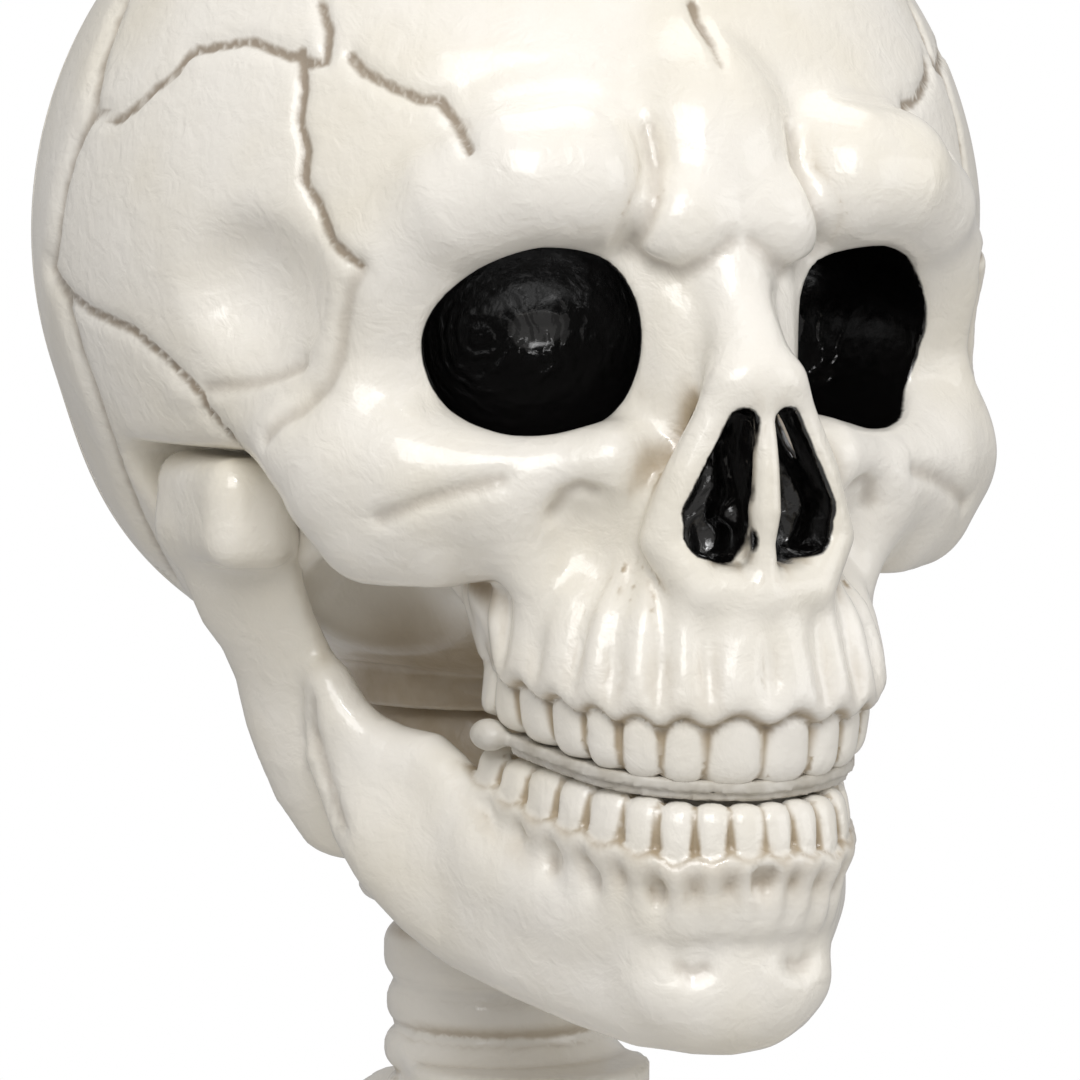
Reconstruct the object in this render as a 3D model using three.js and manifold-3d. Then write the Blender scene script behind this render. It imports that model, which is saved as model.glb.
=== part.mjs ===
// Posable plastic skeleton that hangs from a loop in its crown.
// Millimetres, +Z up. It faces -Y, and +X is its own left.
// Places are worked out from the middle of the head, level with the tops of the jaw's knuckles;
// at the end everything moves so that the hook's seat in the hanging loop is the origin.
import * as THREE from 'three';
import { mergeVertices } from 'three/addons/utils/BufferGeometryUtils.js';
import Module from 'manifold-3d';

const wasm = await Module();
wasm.setup();

// Driving dimensions of the whole figure
const head_size = 85;
const cranium_width = 154;
const cranium_length = 184;
const cranium_height = 146;
const neck_length = 67;
const chest_height = 262;
const chest_width = 264;
const chest_depth = 176;
const loin_length = 118;
const hip_drop = 108;
const shoulder_width = 332;
const shoulder_drop = 62;
const arm_lean = THREE.MathUtils.degToRad(12);
const hip_width = 232;
const upper_arm_length = 274;
const forearm_length = 238;
const hand_length = 168;
const thigh_length = 372;
const shin_length = 362;
const knee_spread = 166;
const ankle_spread = 150;
const ankle_height = 66;
const foot_length = 218;

// Clearances, and how far a cut runs past what it cuts
const clearance = 0.35;
const overrun = 6;

// How finely curved shapes are divided
const limb_sides = 8;
const small_sides = 6;
const rib_sides = 4;
const digit_sides = 5;
const tooth_sides = 4;
const round_sides = 10;
const bolt_sides = 6;
const drum_sides = 14;

// Finishes
const ivory = { color: 0xe9e4d6, roughness: 0.34, metalness: 0 };
const ivory_shade = { color: 0xd9d2bf, roughness: 0.38, metalness: 0 };
const bright_steel = { color: 0xb9bbbd, roughness: 0.32, metalness: 1 };

// Turning three.js shapes into solids and back
function solid_of(geometry) {
  const bare = geometry.clone();
  bare.deleteAttribute('normal');
  bare.deleteAttribute('uv');
  const merged = mergeVertices(bare);
  const mesh = new wasm.Mesh({
    numProp: 3,
    vertProperties: new Float32Array(merged.attributes.position.array),
    triVerts: new Uint32Array(merged.index.array),
  });
  return new wasm.Manifold(mesh);
}

function geometry_of(solid) {
  const mesh = solid.getMesh();
  const geometry = new THREE.BufferGeometry();
  geometry.setAttribute('position', new THREE.BufferAttribute(mesh.vertProperties, 3));
  geometry.setIndex(new THREE.BufferAttribute(mesh.triVerts, 1));
  geometry.computeVertexNormals();
  return geometry;
}

function joined(solids) {
  return solids.reduce((whole, piece) => whole.add(piece));
}

function without(solid, cuts) {
  return cuts.reduce((rest, cut) => rest.subtract(cut), solid);
}

// A closed solid from numbered points, turned outward whichever way its faces were listed
function closed_solid(points, triangles) {
  let volume = 0;
  const cross = new THREE.Vector3();
  for (const [a, b, c] of triangles) {
    volume += cross.crossVectors(points[a], points[b]).dot(points[c]);
  }
  const listed = volume > 0 ? triangles : triangles.map(([a, b, c]) => [a, c, b]);
  const geometry = new THREE.BufferGeometry().setFromPoints(points);
  geometry.setIndex(listed.flat());
  return solid_of(geometry);
}

// Simple shapes at a place, lying along an axis
const up = new THREE.Vector3(0, 0, 1);

function placed(geometry, from, along, place) {
  geometry.applyQuaternion(new THREE.Quaternion().setFromUnitVectors(from, along));
  geometry.translate(place.x, place.y, place.z);
  return solid_of(geometry);
}

function rod(place, along, radius, length, sides) {
  const shape = new THREE.CylinderGeometry(radius, radius, length, sides);
  return placed(shape, new THREE.Vector3(0, 1, 0), along, place);
}

// A rod to cut a round hole with: its flats clear the radius, so that a round piece turns in it
function hole(place, along, radius, length, sides) {
  return rod(place, along, radius / Math.cos(Math.PI / sides), length, sides);
}

function turned(profile, along, place, sides) {
  const outline = profile.map(([radius, height]) => new THREE.Vector2(radius, height));
  return placed(new THREE.LatheGeometry(outline, sides), new THREE.Vector3(0, 1, 0), along, place);
}

function block(place, size) {
  const shape = new THREE.BoxGeometry(size.x, size.y, size.z);
  return placed(shape, up, up, place);
}

function egg(place, radii, around, rows) {
  const shape = new THREE.SphereGeometry(1, around, rows);
  shape.scale(radii.x, radii.y, radii.z);
  return placed(shape, up, up, place);
}

function spot(x, y, z) {
  return new THREE.Vector3(x, y, z);
}

// A bone swept through stations: each has its place and its half sizes across and through.
// The across direction is kept as near as it can be to the given one.
function bone(stations, across, sides) {
  const points = [];
  const triangles = [];
  stations.forEach(([place], row) => {
    const ahead = stations[Math.min(row + 1, stations.length - 1)][0];
    const behind = stations[Math.max(row - 1, 0)][0];
    const run = ahead.clone().sub(behind).normalize();
    const side = across.clone().addScaledVector(run, -across.dot(run)).normalize();
    const through = run.clone().cross(side);
    const [, half_across, half_through] = stations[row];
    for (let step = 0; step < sides; step += 1) {
      const angle = ((step + 0.5) / sides) * 2 * Math.PI;
      const point = place.clone().addScaledVector(side, half_across * Math.cos(angle));
      points.push(point.addScaledVector(through, half_through * Math.sin(angle)));
    }
  });
  const last = stations.length - 1;
  for (let row = 0; row < last; row += 1) {
    for (let step = 0; step < sides; step += 1) {
      const here = row * sides + step;
      const next = row * sides + (step + 1) % sides;
      triangles.push([here, next, here + sides], [next, next + sides, here + sides]);
    }
  }
  for (const row of [0, last]) {
    const middle = points.push(stations[row][0].clone()) - 1;
    for (let step = 0; step < sides; step += 1) {
      const here = row * sides + step;
      const next = row * sides + (step + 1) % sides;
      triangles.push(row === 0 ? [middle, next, here] : [middle, here, next]);
    }
  }
  return closed_solid(points, triangles);
}

// Rounded forms as fields: negative inside, zero on the surface, positive outside
function egg_field(centre, radii) {
  return (x, y, z) => {
    const [u, v, w] = [(x - centre.x) / radii.x, (y - centre.y) / radii.y, (z - centre.z) / radii.z];
    const near = Math.hypot(u, v, w);
    const slope = Math.hypot(u / radii.x, v / radii.y, w / radii.z);
    return slope === 0 ? -Math.min(radii.x, radii.y, radii.z) : near * (near - 1) / slope;
  };
}

// A limb that tapers from one ball to another, with heights pressed together by a share
function limb_field(start, end, start_radius, end_radius, press = 1) {
  const run = spot(end.x - start.x, end.y - start.y, (end.z - start.z) * press);
  const length_squared = run.lengthSq();
  return (x, y, z) => {
    const [u, v, w] = [x - start.x, y - start.y, (z - start.z) * press];
    const along = Math.min(1, Math.max(0, (u * run.x + v * run.y + w * run.z) / length_squared));
    const away = Math.hypot(u - run.x * along, v - run.y * along, w - run.z * along);
    return away - start_radius - (end_radius - start_radius) * along;
  };
}

// Two fields melted together, or one melted out of the other, over a blend width
function melted(first, second, blend) {
  const mix = Math.max(0, blend - Math.abs(first - second)) / blend;
  return Math.min(first, second) - mix * mix * blend / 4;
}

function melted_out(first, cut, blend) {
  return -melted(-first, cut, blend);
}

// A field with both sides alike, from forms added and then forms cut
function mirrored_field(added, cuts, blend) {
  return (x, y, z) => {
    const side = Math.abs(x);
    const whole = added.reduce((sum, form) => melted(sum, form(side, y, z), blend), Infinity);
    return cuts.reduce((sum, form) => melted_out(sum, form(side, y, z), blend / 2), whole);
  };
}

// The surface of a field as a closed mesh: one point in each grid cell that the surface crosses.
// Corners that would only touch across a cell are joined first, so that the mesh is one sheet.
function field_solid(field, lines) {
  const count = lines.map((line) => line.length);
  const [nx, ny, nz] = count;
  const strides = [1, nx, nx * ny];
  const values = new Float64Array(nx * ny * nz);
  const least = lines[0][1] - lines[0][0];
  for (let k = 0; k < nz; k += 1) {
    for (let j = 0; j < ny; j += 1) {
      for (let i = 0; i < nx; i += 1) {
        const rim = Math.min(i, j, k, nx - 1 - i, ny - 1 - j, nz - 1 - k) < 2;
        const value = field(lines[0][i], lines[1][j], lines[2][k]);
        values[i + j * strides[1] + k * strides[2]] = rim ? Math.max(value, least) : value;
      }
    }
  }
  join_corners(values, strides, least);
  const numbers = new Map();
  const points = [];
  const point_in = (cell) => {
    const key = cell[0] + cell[1] * strides[1] + cell[2] * strides[2];
    if (!numbers.has(key)) {
      numbers.set(key, points.length);
      points.push(surface_point(values, strides, key, lines, cell));
    }
    return numbers.get(key);
  };
  const triangles = [];
  const others = [[1, 2], [2, 0], [0, 1]];
  for (let k = 1; k < nz - 2; k += 1) {
    for (let j = 1; j < ny - 2; j += 1) {
      for (let i = 1; i < nx - 2; i += 1) {
        const here = i + j * strides[1] + k * strides[2];
        for (let axis = 0; axis < 3; axis += 1) {
          if ((values[here] < 0) === (values[here + strides[axis]] < 0)) {
            continue;
          }
          const ring = [[0, 0], [1, 0], [1, 1], [0, 1]].map(([back, down]) => {
            const cell = [i, j, k];
            cell[others[axis][0]] -= back;
            cell[others[axis][1]] -= down;
            return point_in(cell);
          });
          const [a, b, c, d] = values[here] < 0 ? ring : ring.reverse();
          const short = points[a].distanceTo(points[c]) < points[b].distanceTo(points[d]);
          triangles.push(...(short ? [[a, b, c], [a, c, d]] : [[a, b, d], [b, c, d]]));
        }
      }
    }
  }
  return closed_solid(points, triangles);
}

// Grid lines from low to high: close together between two places, and wider apart outside them
function grid_lines(low, high, fine_low, fine_high, fine_step, wide_step) {
  const lines = [low];
  while (lines.at(-1) < high) {
    const last = lines.at(-1);
    const inside = last > fine_low - wide_step && last < fine_high;
    lines.push(last + (inside ? fine_step : wide_step));
  }
  return lines;
}

function join_corners(values, strides, least) {
  const inside = -least / 100;
  const faces = [[0, 1], [1, 2], [2, 0]];
  let changed = true;
  while (changed) {
    changed = false;
    for (let here = 0; here < values.length - strides[0] - strides[1] - strides[2]; here += 1) {
      for (const [first, second] of faces) {
        const ring = [0, strides[first], strides[first] + strides[second], strides[second]];
        const [a, b, c, d] = ring.map((step) => values[here + step] < 0);
        if (a === c && b === d && a !== b) {
          values[here + (a ? ring[1] : ring[0])] = inside;
          changed = true;
        }
      }
      const corners = [0, 1, 2, 3, 4, 5, 6, 7].map((bits) => {
        return here + (bits & 1) * strides[0] + ((bits >> 1) & 1) * strides[1] + (bits >> 2) * strides[2];
      });
      const filled = corners.filter((index) => values[index] < 0);
      const opposite = (set) => corners.indexOf(set[0]) + corners.indexOf(set[1]) === 7;
      if (filled.length === 2 && opposite(filled)) {
        const bridge = corners[corners.indexOf(filled[0]) ^ 1];
        values[bridge] = inside;
        changed = true;
      }
      const empty = corners.filter((index) => values[index] >= 0);
      if (empty.length === 2 && opposite(empty)) {
        values[empty[0]] = inside;
        changed = true;
      }
    }
  }
}

function surface_point(values, strides, key, lines, cell) {
  const edges = [];
  for (let bits = 0; bits < 8; bits += 1) {
    for (let axis = 0; axis < 3; axis += 1) {
      if (bits & (1 << axis)) {
        continue;
      }
      const near = (bits & 1) * strides[0] + ((bits >> 1) & 1) * strides[1] + (bits >> 2) * strides[2];
      const [first, second] = [values[key + near], values[key + near + strides[axis]]];
      if ((first < 0) !== (second < 0)) {
        const place = [bits & 1, (bits >> 1) & 1, bits >> 2];
        place[axis] += first / (first - second);
        edges.push(spot(...place));
      }
    }
  }
  const mean = edges.reduce((sum, edge) => sum.add(edge), spot(0, 0, 0)).divideScalar(edges.length);
  const low = spot(...lines.map((line, axis) => line[cell[axis]]));
  const size = spot(...lines.map((line, axis) => line[cell[axis] + 1])).sub(low);
  return mean.multiply(size).add(low);
}

// Places on the head, as shares of its size
function on_head(x_share, y_share, z_share) {
  return spot(x_share, y_share, z_share).multiplyScalar(head_size);
}

function head_egg(centre_share, radii_share) {
  return egg_field(on_head(...centre_share), on_head(...radii_share));
}

function head_limb(start_share, end_share, radius_shares, press = 1) {
  const [start_radius, end_radius] = radius_shares.map((share) => share * head_size);
  return limb_field(on_head(...start_share), on_head(...end_share), start_radius, end_radius, press);
}

function head_chain(place_shares, radius_shares, press = 1) {
  return place_shares.slice(1).map((share, index) => {
    return head_limb(place_shares[index], share, radius_shares.slice(index, index + 2), press);
  });
}

// The brain case
const cranium_centre = spot(0, head_size * 0.24, cranium_height / 2 - head_size * 0.42);
const crown = cranium_centre.z + cranium_height / 2;
const cranium_wall = 6;
const seam_place = head_size * 0.5;

const cranium_radii = spot(cranium_width / 2, cranium_length / 2, cranium_height / 2);
const brain_case = [
  egg_field(cranium_centre, cranium_radii),
  head_egg([0, 0.5, 0.02], [0.66, 0.66, 0.46]),
  head_egg([0.6, 0.32, -0.16], [0.16, 0.2, 0.26]),
];

// The face: brow, nose bridge, cheeks, upper jaw
const face = [
  ...head_chain([[0.1, -0.83, 0.47], [0.36, -0.78, 0.47], [0.54, -0.64, 0.38]], [0.1, 0.085, 0.075]),
  ...head_chain([[0.54, -0.64, 0.36], [0.57, -0.61, 0.1]], [0.07, 0.09]),
  ...head_chain([[0, -0.84, 0.37], [0, -0.95, 0.13]], [0.08, 0.07]),
  ...head_chain([[0.1, -0.82, 0.3], [0.15, -0.85, 0], [0.2, -0.82, -0.28]], [0.07, 0.07, 0.14]),
  ...head_chain([[0.58, -0.6, 0.03], [0.46, -0.71, -0.1], [0.32, -0.76, -0.3]], [0.13, 0.13, 0.11]),
  ...head_chain([[0.63, -0.56, 0.02], [0.7, -0.3, 0.04], [0.72, 0, 0.1]], [0.1, 0.065, 0.07]),
  head_egg([0, -0.58, -0.1], [0.38, 0.36, 0.3]),
  ...head_chain([[0, -0.94, -0.36], [0.2, -0.86, -0.36], [0.29, -0.6, -0.34]], [0.085, 0.095, 0.1]),
  head_egg([0, -0.9, -0.24], [0.16, 0.12, 0.16]),
];

const eye_socket = head_egg([0.34, -0.74, 0.21], [0.185, 0.28, 0.175]);
const nose_hole = head_limb([0.045, -0.99, 0.03], [0.082, -0.96, -0.11], [0.034, 0.066]);
const nose_depth = head_limb([0.055, -0.86, 0.02], [0.085, -0.84, -0.1], [0.03, 0.055]);
const temple = head_egg([0.8, -0.46, 0.22], [0.2, 0.24, 0.3]);
const knuckle_recess = head_limb([0.75, 0.03, -0.13], [0.68, -0.1, -0.5], [0.135, 0.165]);
const under_cheek = head_egg([0.44, -0.3, -0.4], [0.2, 0.32, 0.3]);

const skull_field = mirrored_field(
  [...brain_case, ...face],
  [eye_socket, nose_hole, nose_depth, temple, knuckle_recess, under_cheek],
  head_size * 0.09,
);

// Teeth stand along an arch: half of it in widths, from the middle to the back
const tooth_width_shares = [0.106, 0.092, 0.094, 0.082, 0.082, 0.1, 0.1];
const tooth_depth_shares = [0.05, 0.05, 0.065, 0.08, 0.085, 0.095, 0.095];
const arch_half_share = 0.335;
const arch_front_share = -1;
const arch_back_share = -0.42;

function arch_place(turn, inset_share) {
  const half = arch_half_share - inset_share;
  const reach = arch_back_share - arch_front_share - inset_share;
  const x_share = half * Math.sin(turn) ** 0.95;
  const y_share = arch_back_share - reach * Math.cos(turn) ** 0.6;
  return on_head(x_share, y_share, 0);
}

// One row of teeth: each a small crown that swells from the gum and narrows to its edge
function tooth_row(gum_share, edge_share, inset_share) {
  const teeth = [];
  const steps = 400;
  let walked = 0;
  let tooth = 0;
  let middle = tooth_width_shares[0] / 2;
  for (let step = 1; step <= steps && tooth < tooth_width_shares.length; step += 1) {
    const place = arch_place((step / steps) * Math.PI / 2, inset_share);
    const before = arch_place(((step - 1) / steps) * Math.PI / 2, inset_share);
    walked += place.distanceTo(before) / head_size;
    if (walked >= middle) {
      const run = place.clone().sub(before).normalize();
      teeth.push(...tooth_pair(place, run, tooth, gum_share, edge_share));
      const next_width = tooth_width_shares[tooth + 1] ?? 0;
      middle += (tooth_width_shares[tooth] + next_width) / 2;
      tooth += 1;
    }
  }
  return joined(teeth);
}

function tooth_pair(place, run, tooth, gum_share, edge_share) {
  const half_width = tooth_width_shares[tooth] * head_size * 0.47;
  const half_depth = tooth_depth_shares[tooth] * head_size / 2;
  const shape = [[0, 1.1, 1.2], [0.5, 1.35, 1.35], [1, 1.2, 0.8]];
  return [1, -1].map((side) => {
    const across = spot(side * run.x, run.y, 0);
    const stations = shape.map(([height, wide, deep]) => {
      const z = (gum_share + (edge_share - gum_share) * height) * head_size;
      return [spot(side * place.x, place.y, z), half_width * wide, half_depth * deep];
    });
    return bone(stations, across, tooth_sides);
  });
}

// The lower jaw
const jaw_shapes = [
  ...head_chain([[0.69, 0.03, -0.13], [0.6, -0.08, -0.42], [0.53, -0.18, -0.72]], [0.1, 0.095, 0.1]),
  ...head_chain([[0.57, -0.34, -0.28], [0.55, -0.34, -0.5], [0.48, -0.42, -0.72]], [0.05, 0.08, 0.1]),
  head_limb([0.58, -0.2, -0.44], [0.53, -0.26, -0.68], [0.075, 0.1]),
  ...head_chain(
    [[0.51, -0.22, -0.78], [0.43, -0.48, -0.83], [0.31, -0.74, -0.88]],
    [0.09, 0.09, 0.085],
    0.55,
  ),
  ...head_chain(
    [[0.31, -0.74, -0.88], [0.14, -0.86, -0.91], [0, -0.88, -0.92]],
    [0.085, 0.085, 0.09],
    0.55,
  ),
  ...head_chain(
    [[0, -0.93, -0.8], [0.17, -0.87, -0.8], [0.27, -0.68, -0.79], [0.33, -0.42, -0.77]],
    [0.06, 0.06, 0.06, 0.065],
  ),
  head_egg([0, -0.9, -1], [0.2, 0.085, 0.09]),
];
const jaw_field = mirrored_field(jaw_shapes, [], head_size * 0.07);

const hinge_half = head_size * 0.69;
const hinge_place = (side) => spot(side * hinge_half, head_size * 0.03, -head_size * 0.13);
const knuckle_half_width = 5;
const knuckle_radius = 8.5;
const hinge_pin_radius = 2.6;
const hinge_pin_reach = 2.5;
const hinge_pin_depth = 14;

// The neck socket under the skull
const neck_place_y = head_size * 0.2;
const drum_radius = 32;
const drum_top = -head_size * 0.3;
const drum_bottom = -head_size * 0.5;
const swivel_radius = 8;
const swivel_depth = 14;
const swivel_flange_radius = 21;
const swivel_flange_height = 5;
const nod_radius = 9.5;
const nod_lug_width = 11;
const nod_ear_width = 6;

// Hinges between limb pieces: knuckle radius, tongue width, ear width
const bolt_radius = 2.4;
const bolt_head_radius = 4.8;
const bolt_head_height = 2.6;
const shoulder_joint = { radius: 13, tongue: 9, ear: 5.5 };
const elbow_joint = { radius: 13.5, tongue: 9, ear: 6.5 };
const wrist_joint = { radius: 8.5, tongue: 6, ear: 4 };
const hip_joint = { radius: 15, tongue: 11, ear: 6.5 };
const knee_joint = { radius: 18.5, tongue: 13, ear: 9.5 };
const ankle_joint = { radius: 12.5, tongue: 10, ear: 6 };

// Swivels that let a limb swing: a stub in a round boss
const shoulder_swivel = { boss: 15, stub: 7, reach: 18, flange: 12.5, plate: 4 };
const hip_swivel = { boss: 21, stub: 9, reach: 22, flange: 15, plate: 4 };

// A hinge: the tongue of one bone stands between the ears of the other, on a bolt
function hinged(tongue_bone, ear_bone, place, axis, size) {
  const width = size.tongue + 2 * size.ear + 2 * clearance;
  const slot_radius = size.radius + clearance;
  const slot = hole(place, axis, slot_radius, size.tongue + 2 * clearance, round_sides);
  const bore = hole(place, axis, bolt_radius + clearance, width + overrun, bolt_sides);
  const ears = without(ear_bone.add(rod(place, axis, size.radius, width, round_sides)), [slot, bore]);
  const reach = (width - size.tongue) / 2 + overrun;
  const beside = [1, -1].map((side) => {
    const centre = place.clone().addScaledVector(axis, side * (size.tongue / 2 + reach / 2));
    return hole(centre, axis, slot_radius, reach, round_sides);
  });
  const tongue = rod(place, axis, size.radius, size.tongue, round_sides);
  return {
    tongue: without(without(tongue_bone, beside).add(tongue), [bore]),
    ears,
    bolt: bolt(place, axis, width),
  };
}

// A bolt with its head on one side and its nut on the other
function bolt(place, axis, width) {
  const seat = width / 2 + clearance;
  const end = seat + bolt_head_height;
  const profile = [
    [0, -end],
    [bolt_head_radius, -end],
    [bolt_head_radius, -seat],
    [bolt_radius, -seat],
    [bolt_radius, seat],
    [bolt_head_radius, seat],
    [bolt_head_radius, end],
    [0, end],
  ];
  return turned(profile, axis, place, bolt_sides);
}

// A yoke: a stub that turns in a boss, a flange against the boss, and a tongue at the hinge
function yoke(face_place, out, size, joint, axis) {
  const hinge = face_place.clone().addScaledVector(out, yoke_reach(size, joint));
  const stub_end = -size.reach + clearance;
  const profile = [
    [0, stub_end],
    [size.stub, stub_end],
    [size.stub, clearance],
    [size.flange, clearance],
    [size.flange, clearance + size.plate],
    [0, clearance + size.plate],
  ];
  const stem_start = face_place.clone().addScaledVector(out, size.plate / 2);
  const stem_end = hinge.clone().addScaledVector(out, -joint.radius / 2);
  const stem = bone(
    [[stem_start, joint.radius * 0.6, joint.tongue / 2], [stem_end, joint.radius * 0.6, joint.tongue / 2]],
    axis.clone().cross(out),
    limb_sides,
  );
  return turned(profile, out, face_place, round_sides).add(stem);
}

function yoke_reach(size, joint) {
  return size.plate + joint.radius + 3 * clearance;
}

// Heights down the body
const drum_face = spot(0, neck_place_y, drum_bottom);
const nod_place = spot(0, neck_place_y, drum_bottom - swivel_flange_height - nod_radius - 3 * clearance);
const chest_top = nod_place.z - neck_length;
const chest_bottom = chest_top - chest_height;
const pelvis_top = chest_bottom - loin_length;
const hip_height = pelvis_top - hip_drop;
const shoulder_height = chest_top - shoulder_drop;
const spine_back = neck_place_y + chest_depth * 0.14;
const loin_place_y = neck_place_y + chest_depth * 0.07;
const hip_place_y = neck_place_y * 0.3;

// The head's pieces
const fine_cell = 6.1;
const wide_cell = 13;
const jaw_cell = 7.2;

function skull_shells() {
  const side = cranium_radii.x + 3 * overrun;
  const front = -head_size * 1.2;
  const back = cranium_centre.y + cranium_radii.y + 3 * overrun;
  const bottom = -head_size * 0.7;
  const top = crown + 3 * overrun;
  const across = grid_lines(-side, side, -head_size * 0.6, head_size * 0.6, fine_cell, wide_cell * 0.7);
  const height = grid_lines(bottom, top, bottom, head_size * 0.5, fine_cell, wide_cell);
  const front_form = field_solid(skull_field, [
    across,
    grid_lines(front, seam_place + 4 * wide_cell, front, -head_size * 0.6, fine_cell, wide_cell),
    height,
  ]);
  const back_form = field_solid(skull_field, [
    grid_lines(-side, side, side, side, fine_cell, wide_cell),
    grid_lines(seam_place - 4 * wide_cell, back, back, back, fine_cell, wide_cell),
    grid_lines(bottom, top, top, top, fine_cell, wide_cell),
  ]);
  const hollow_shift = spot(0, head_size * 0.17, 0);
  const inside_centre = cranium_centre.clone().add(hollow_shift);
  const inside_radii = cranium_radii.clone().subScalar(cranium_wall).sub(hollow_shift);
  const inside = egg(inside_centre, inside_radii, 14, 9);
  const keep = (from, to) => {
    const centre = spot(0, (from + to) / 2, (crown + bottom) / 2);
    return block(centre, spot(cranium_width * 2, to - from, (crown - bottom) * 2));
  };
  const front_half = front_form.subtract(inside).intersect(keep(front - overrun, seam_place - clearance / 2));
  const back_half = back_form.subtract(inside).intersect(keep(seam_place + clearance / 2, back + overrun));
  return { front_half, back_half };
}

function neck_drum() {
  const centre = spot(0, neck_place_y, (drum_top + drum_bottom) / 2);
  return rod(centre, up, drum_radius, drum_top - drum_bottom, drum_sides);
}

function hinge_pin(side) {
  return hinge_rod(side, hinge_pin_radius, hinge_pin_depth, hinge_pin_reach);
}

function hinge_bore(side) {
  const radius = hinge_pin_radius + clearance;
  return hinge_rod(side, radius, hinge_pin_depth + clearance, hinge_pin_reach + clearance);
}

// A rod on the jaw's hinge line, from inside the skull's boss to inside the jaw's knuckle
function hinge_rod(side, radius, inward, outward) {
  const centre = hinge_place(side).add(spot(side * (outward - inward) / 2, 0, 0));
  return rod(centre, spot(1, 0, 0), radius, inward + outward, limb_sides);
}

function head_pieces() {
  const { front_half, back_half } = skull_shells();
  const swivel_bore = hole(
    drum_face.clone().addScaledVector(up, swivel_depth / 2),
    up,
    swivel_radius + clearance,
    swivel_depth + clearance,
    round_sides,
  );
  const knuckle_room = [1, -1].map((side) => {
    const width = 2 * knuckle_half_width + 2 * clearance + overrun;
    const centre = hinge_place(side).add(spot(side * overrun / 2, 0, 0));
    return rod(centre, spot(1, 0, 0), knuckle_radius * 1.25, width, round_sides);
  });
  const hinge_boss = [1, -1].map((side) => {
    const length = hinge_pin_depth * 1.4;
    const centre = hinge_place(side).add(spot(-side * (knuckle_half_width + clearance + length / 2), 0, 0));
    return rod(centre, spot(1, 0, 0), knuckle_radius * 0.8, length, limb_sides);
  });
  const upper_teeth = tooth_row(-0.4, -0.56, 0);
  const front = without(
    joined([front_half, neck_drum(), ...hinge_boss, upper_teeth]),
    [swivel_bore, ...knuckle_room, hinge_bore(1), hinge_bore(-1), loop_bore()],
  );
  return { front, back: without(back_half, [neck_drum_room()]) };
}

function neck_drum_room() {
  const centre = spot(0, neck_place_y, (drum_top + drum_bottom) / 2);
  const height = drum_top - drum_bottom + 2 * clearance + overrun;
  return rod(centre, up, drum_radius + clearance, height, drum_sides);
}

function jaw_piece() {
  const low = on_head(-0.9, -1.2, -1.25);
  const high = on_head(0.9, 0.3, 0.2);
  const lines = ['x', 'y', 'z'].map((axis) => {
    return grid_lines(low[axis], high[axis], low[axis], high[axis], jaw_cell, jaw_cell);
  });
  const body = field_solid(jaw_field, lines);
  const knuckles = [1, -1].map((side) => {
    return rod(hinge_place(side), spot(1, 0, 0), knuckle_radius, 2 * knuckle_half_width, round_sides);
  });
  const inner_faces = [1, -1].map((side) => {
    const width = 3 * overrun;
    const centre = hinge_place(side).add(spot(-side * (knuckle_half_width + width / 2), 0, 0));
    return rod(centre, spot(1, 0, 0), knuckle_radius * 1.25, width, round_sides);
  });
  const lower_teeth = tooth_row(-0.82, -0.645, 0.035);
  const jaw = joined([without(body, inner_faces), ...knuckles, lower_teeth]);
  return without(jaw, [hinge_bore(1), hinge_bore(-1)]);
}

// The bite plate that closes the mouth under the upper teeth
const bite_plate_thickness = 3.8;
const bite_plate_height = -head_size * 0.61;

function bite_plate_piece() {
  const outline = new THREE.Shape();
  const steps = 9;
  const inset_share = 0.045;
  for (let step = -steps; step <= steps; step += 1) {
    const place = arch_place(Math.abs(step / steps) * Math.PI / 2, inset_share);
    outline.lineTo(Math.sign(step) * place.x, place.y);
  }
  const plate = new THREE.ExtrudeGeometry(outline, { depth: bite_plate_thickness, bevelEnabled: false });
  return placed(plate, up, up, spot(0, 0, bite_plate_height));
}

// The hanging loop: a screw eye in the crown
const loop_radius = 8.5;
const loop_wire = 2;
const loop_stem = 5;
const loop_thread_depth = 12;
const loop_flange_radius = 7;
const loop_flange_height = 2;
const loop_place_y = neck_place_y;

function crown_height_at(y) {
  const off = (y - cranium_centre.y) / cranium_radii.y;
  return cranium_centre.z + cranium_radii.z * Math.sqrt(1 - off * off);
}

const loop_seat = crown_height_at(loop_place_y) + clearance;
const loop_centre_height = loop_seat + loop_stem + loop_radius;
const hook_seat_height = loop_centre_height + loop_radius - loop_wire;

function loop_bore() {
  const centre = spot(0, loop_place_y, loop_seat - loop_thread_depth / 2);
  return rod(centre, up, loop_wire + clearance, loop_thread_depth + 2 * overrun, bolt_sides);
}

function loop_piece() {
  const eye = new THREE.TorusGeometry(loop_radius, loop_wire, limb_sides - 2, round_sides);
  const ring = placed(eye, up, spot(0, 1, 0), spot(0, loop_place_y, loop_centre_height));
  const profile = [
    [0, -loop_thread_depth],
    [loop_wire, -loop_thread_depth],
    [loop_wire, 0],
    [loop_flange_radius, 0],
    [loop_flange_radius, loop_flange_height],
    [loop_wire, loop_flange_height],
    [loop_wire, loop_stem + loop_wire],
    [0, loop_stem + loop_wire],
  ];
  return ring.add(turned(profile, up, spot(0, loop_place_y, loop_seat), limb_sides));
}

// The neck: a ringed column under the nodding joint
const neck_ring_radius = 20;
const neck_core_radius = 14.5;
const neck_ring_pitch = 9.4;
const neck_ring_count = 4;
const collar_radius = 26;
const collar_height = 11;

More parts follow.
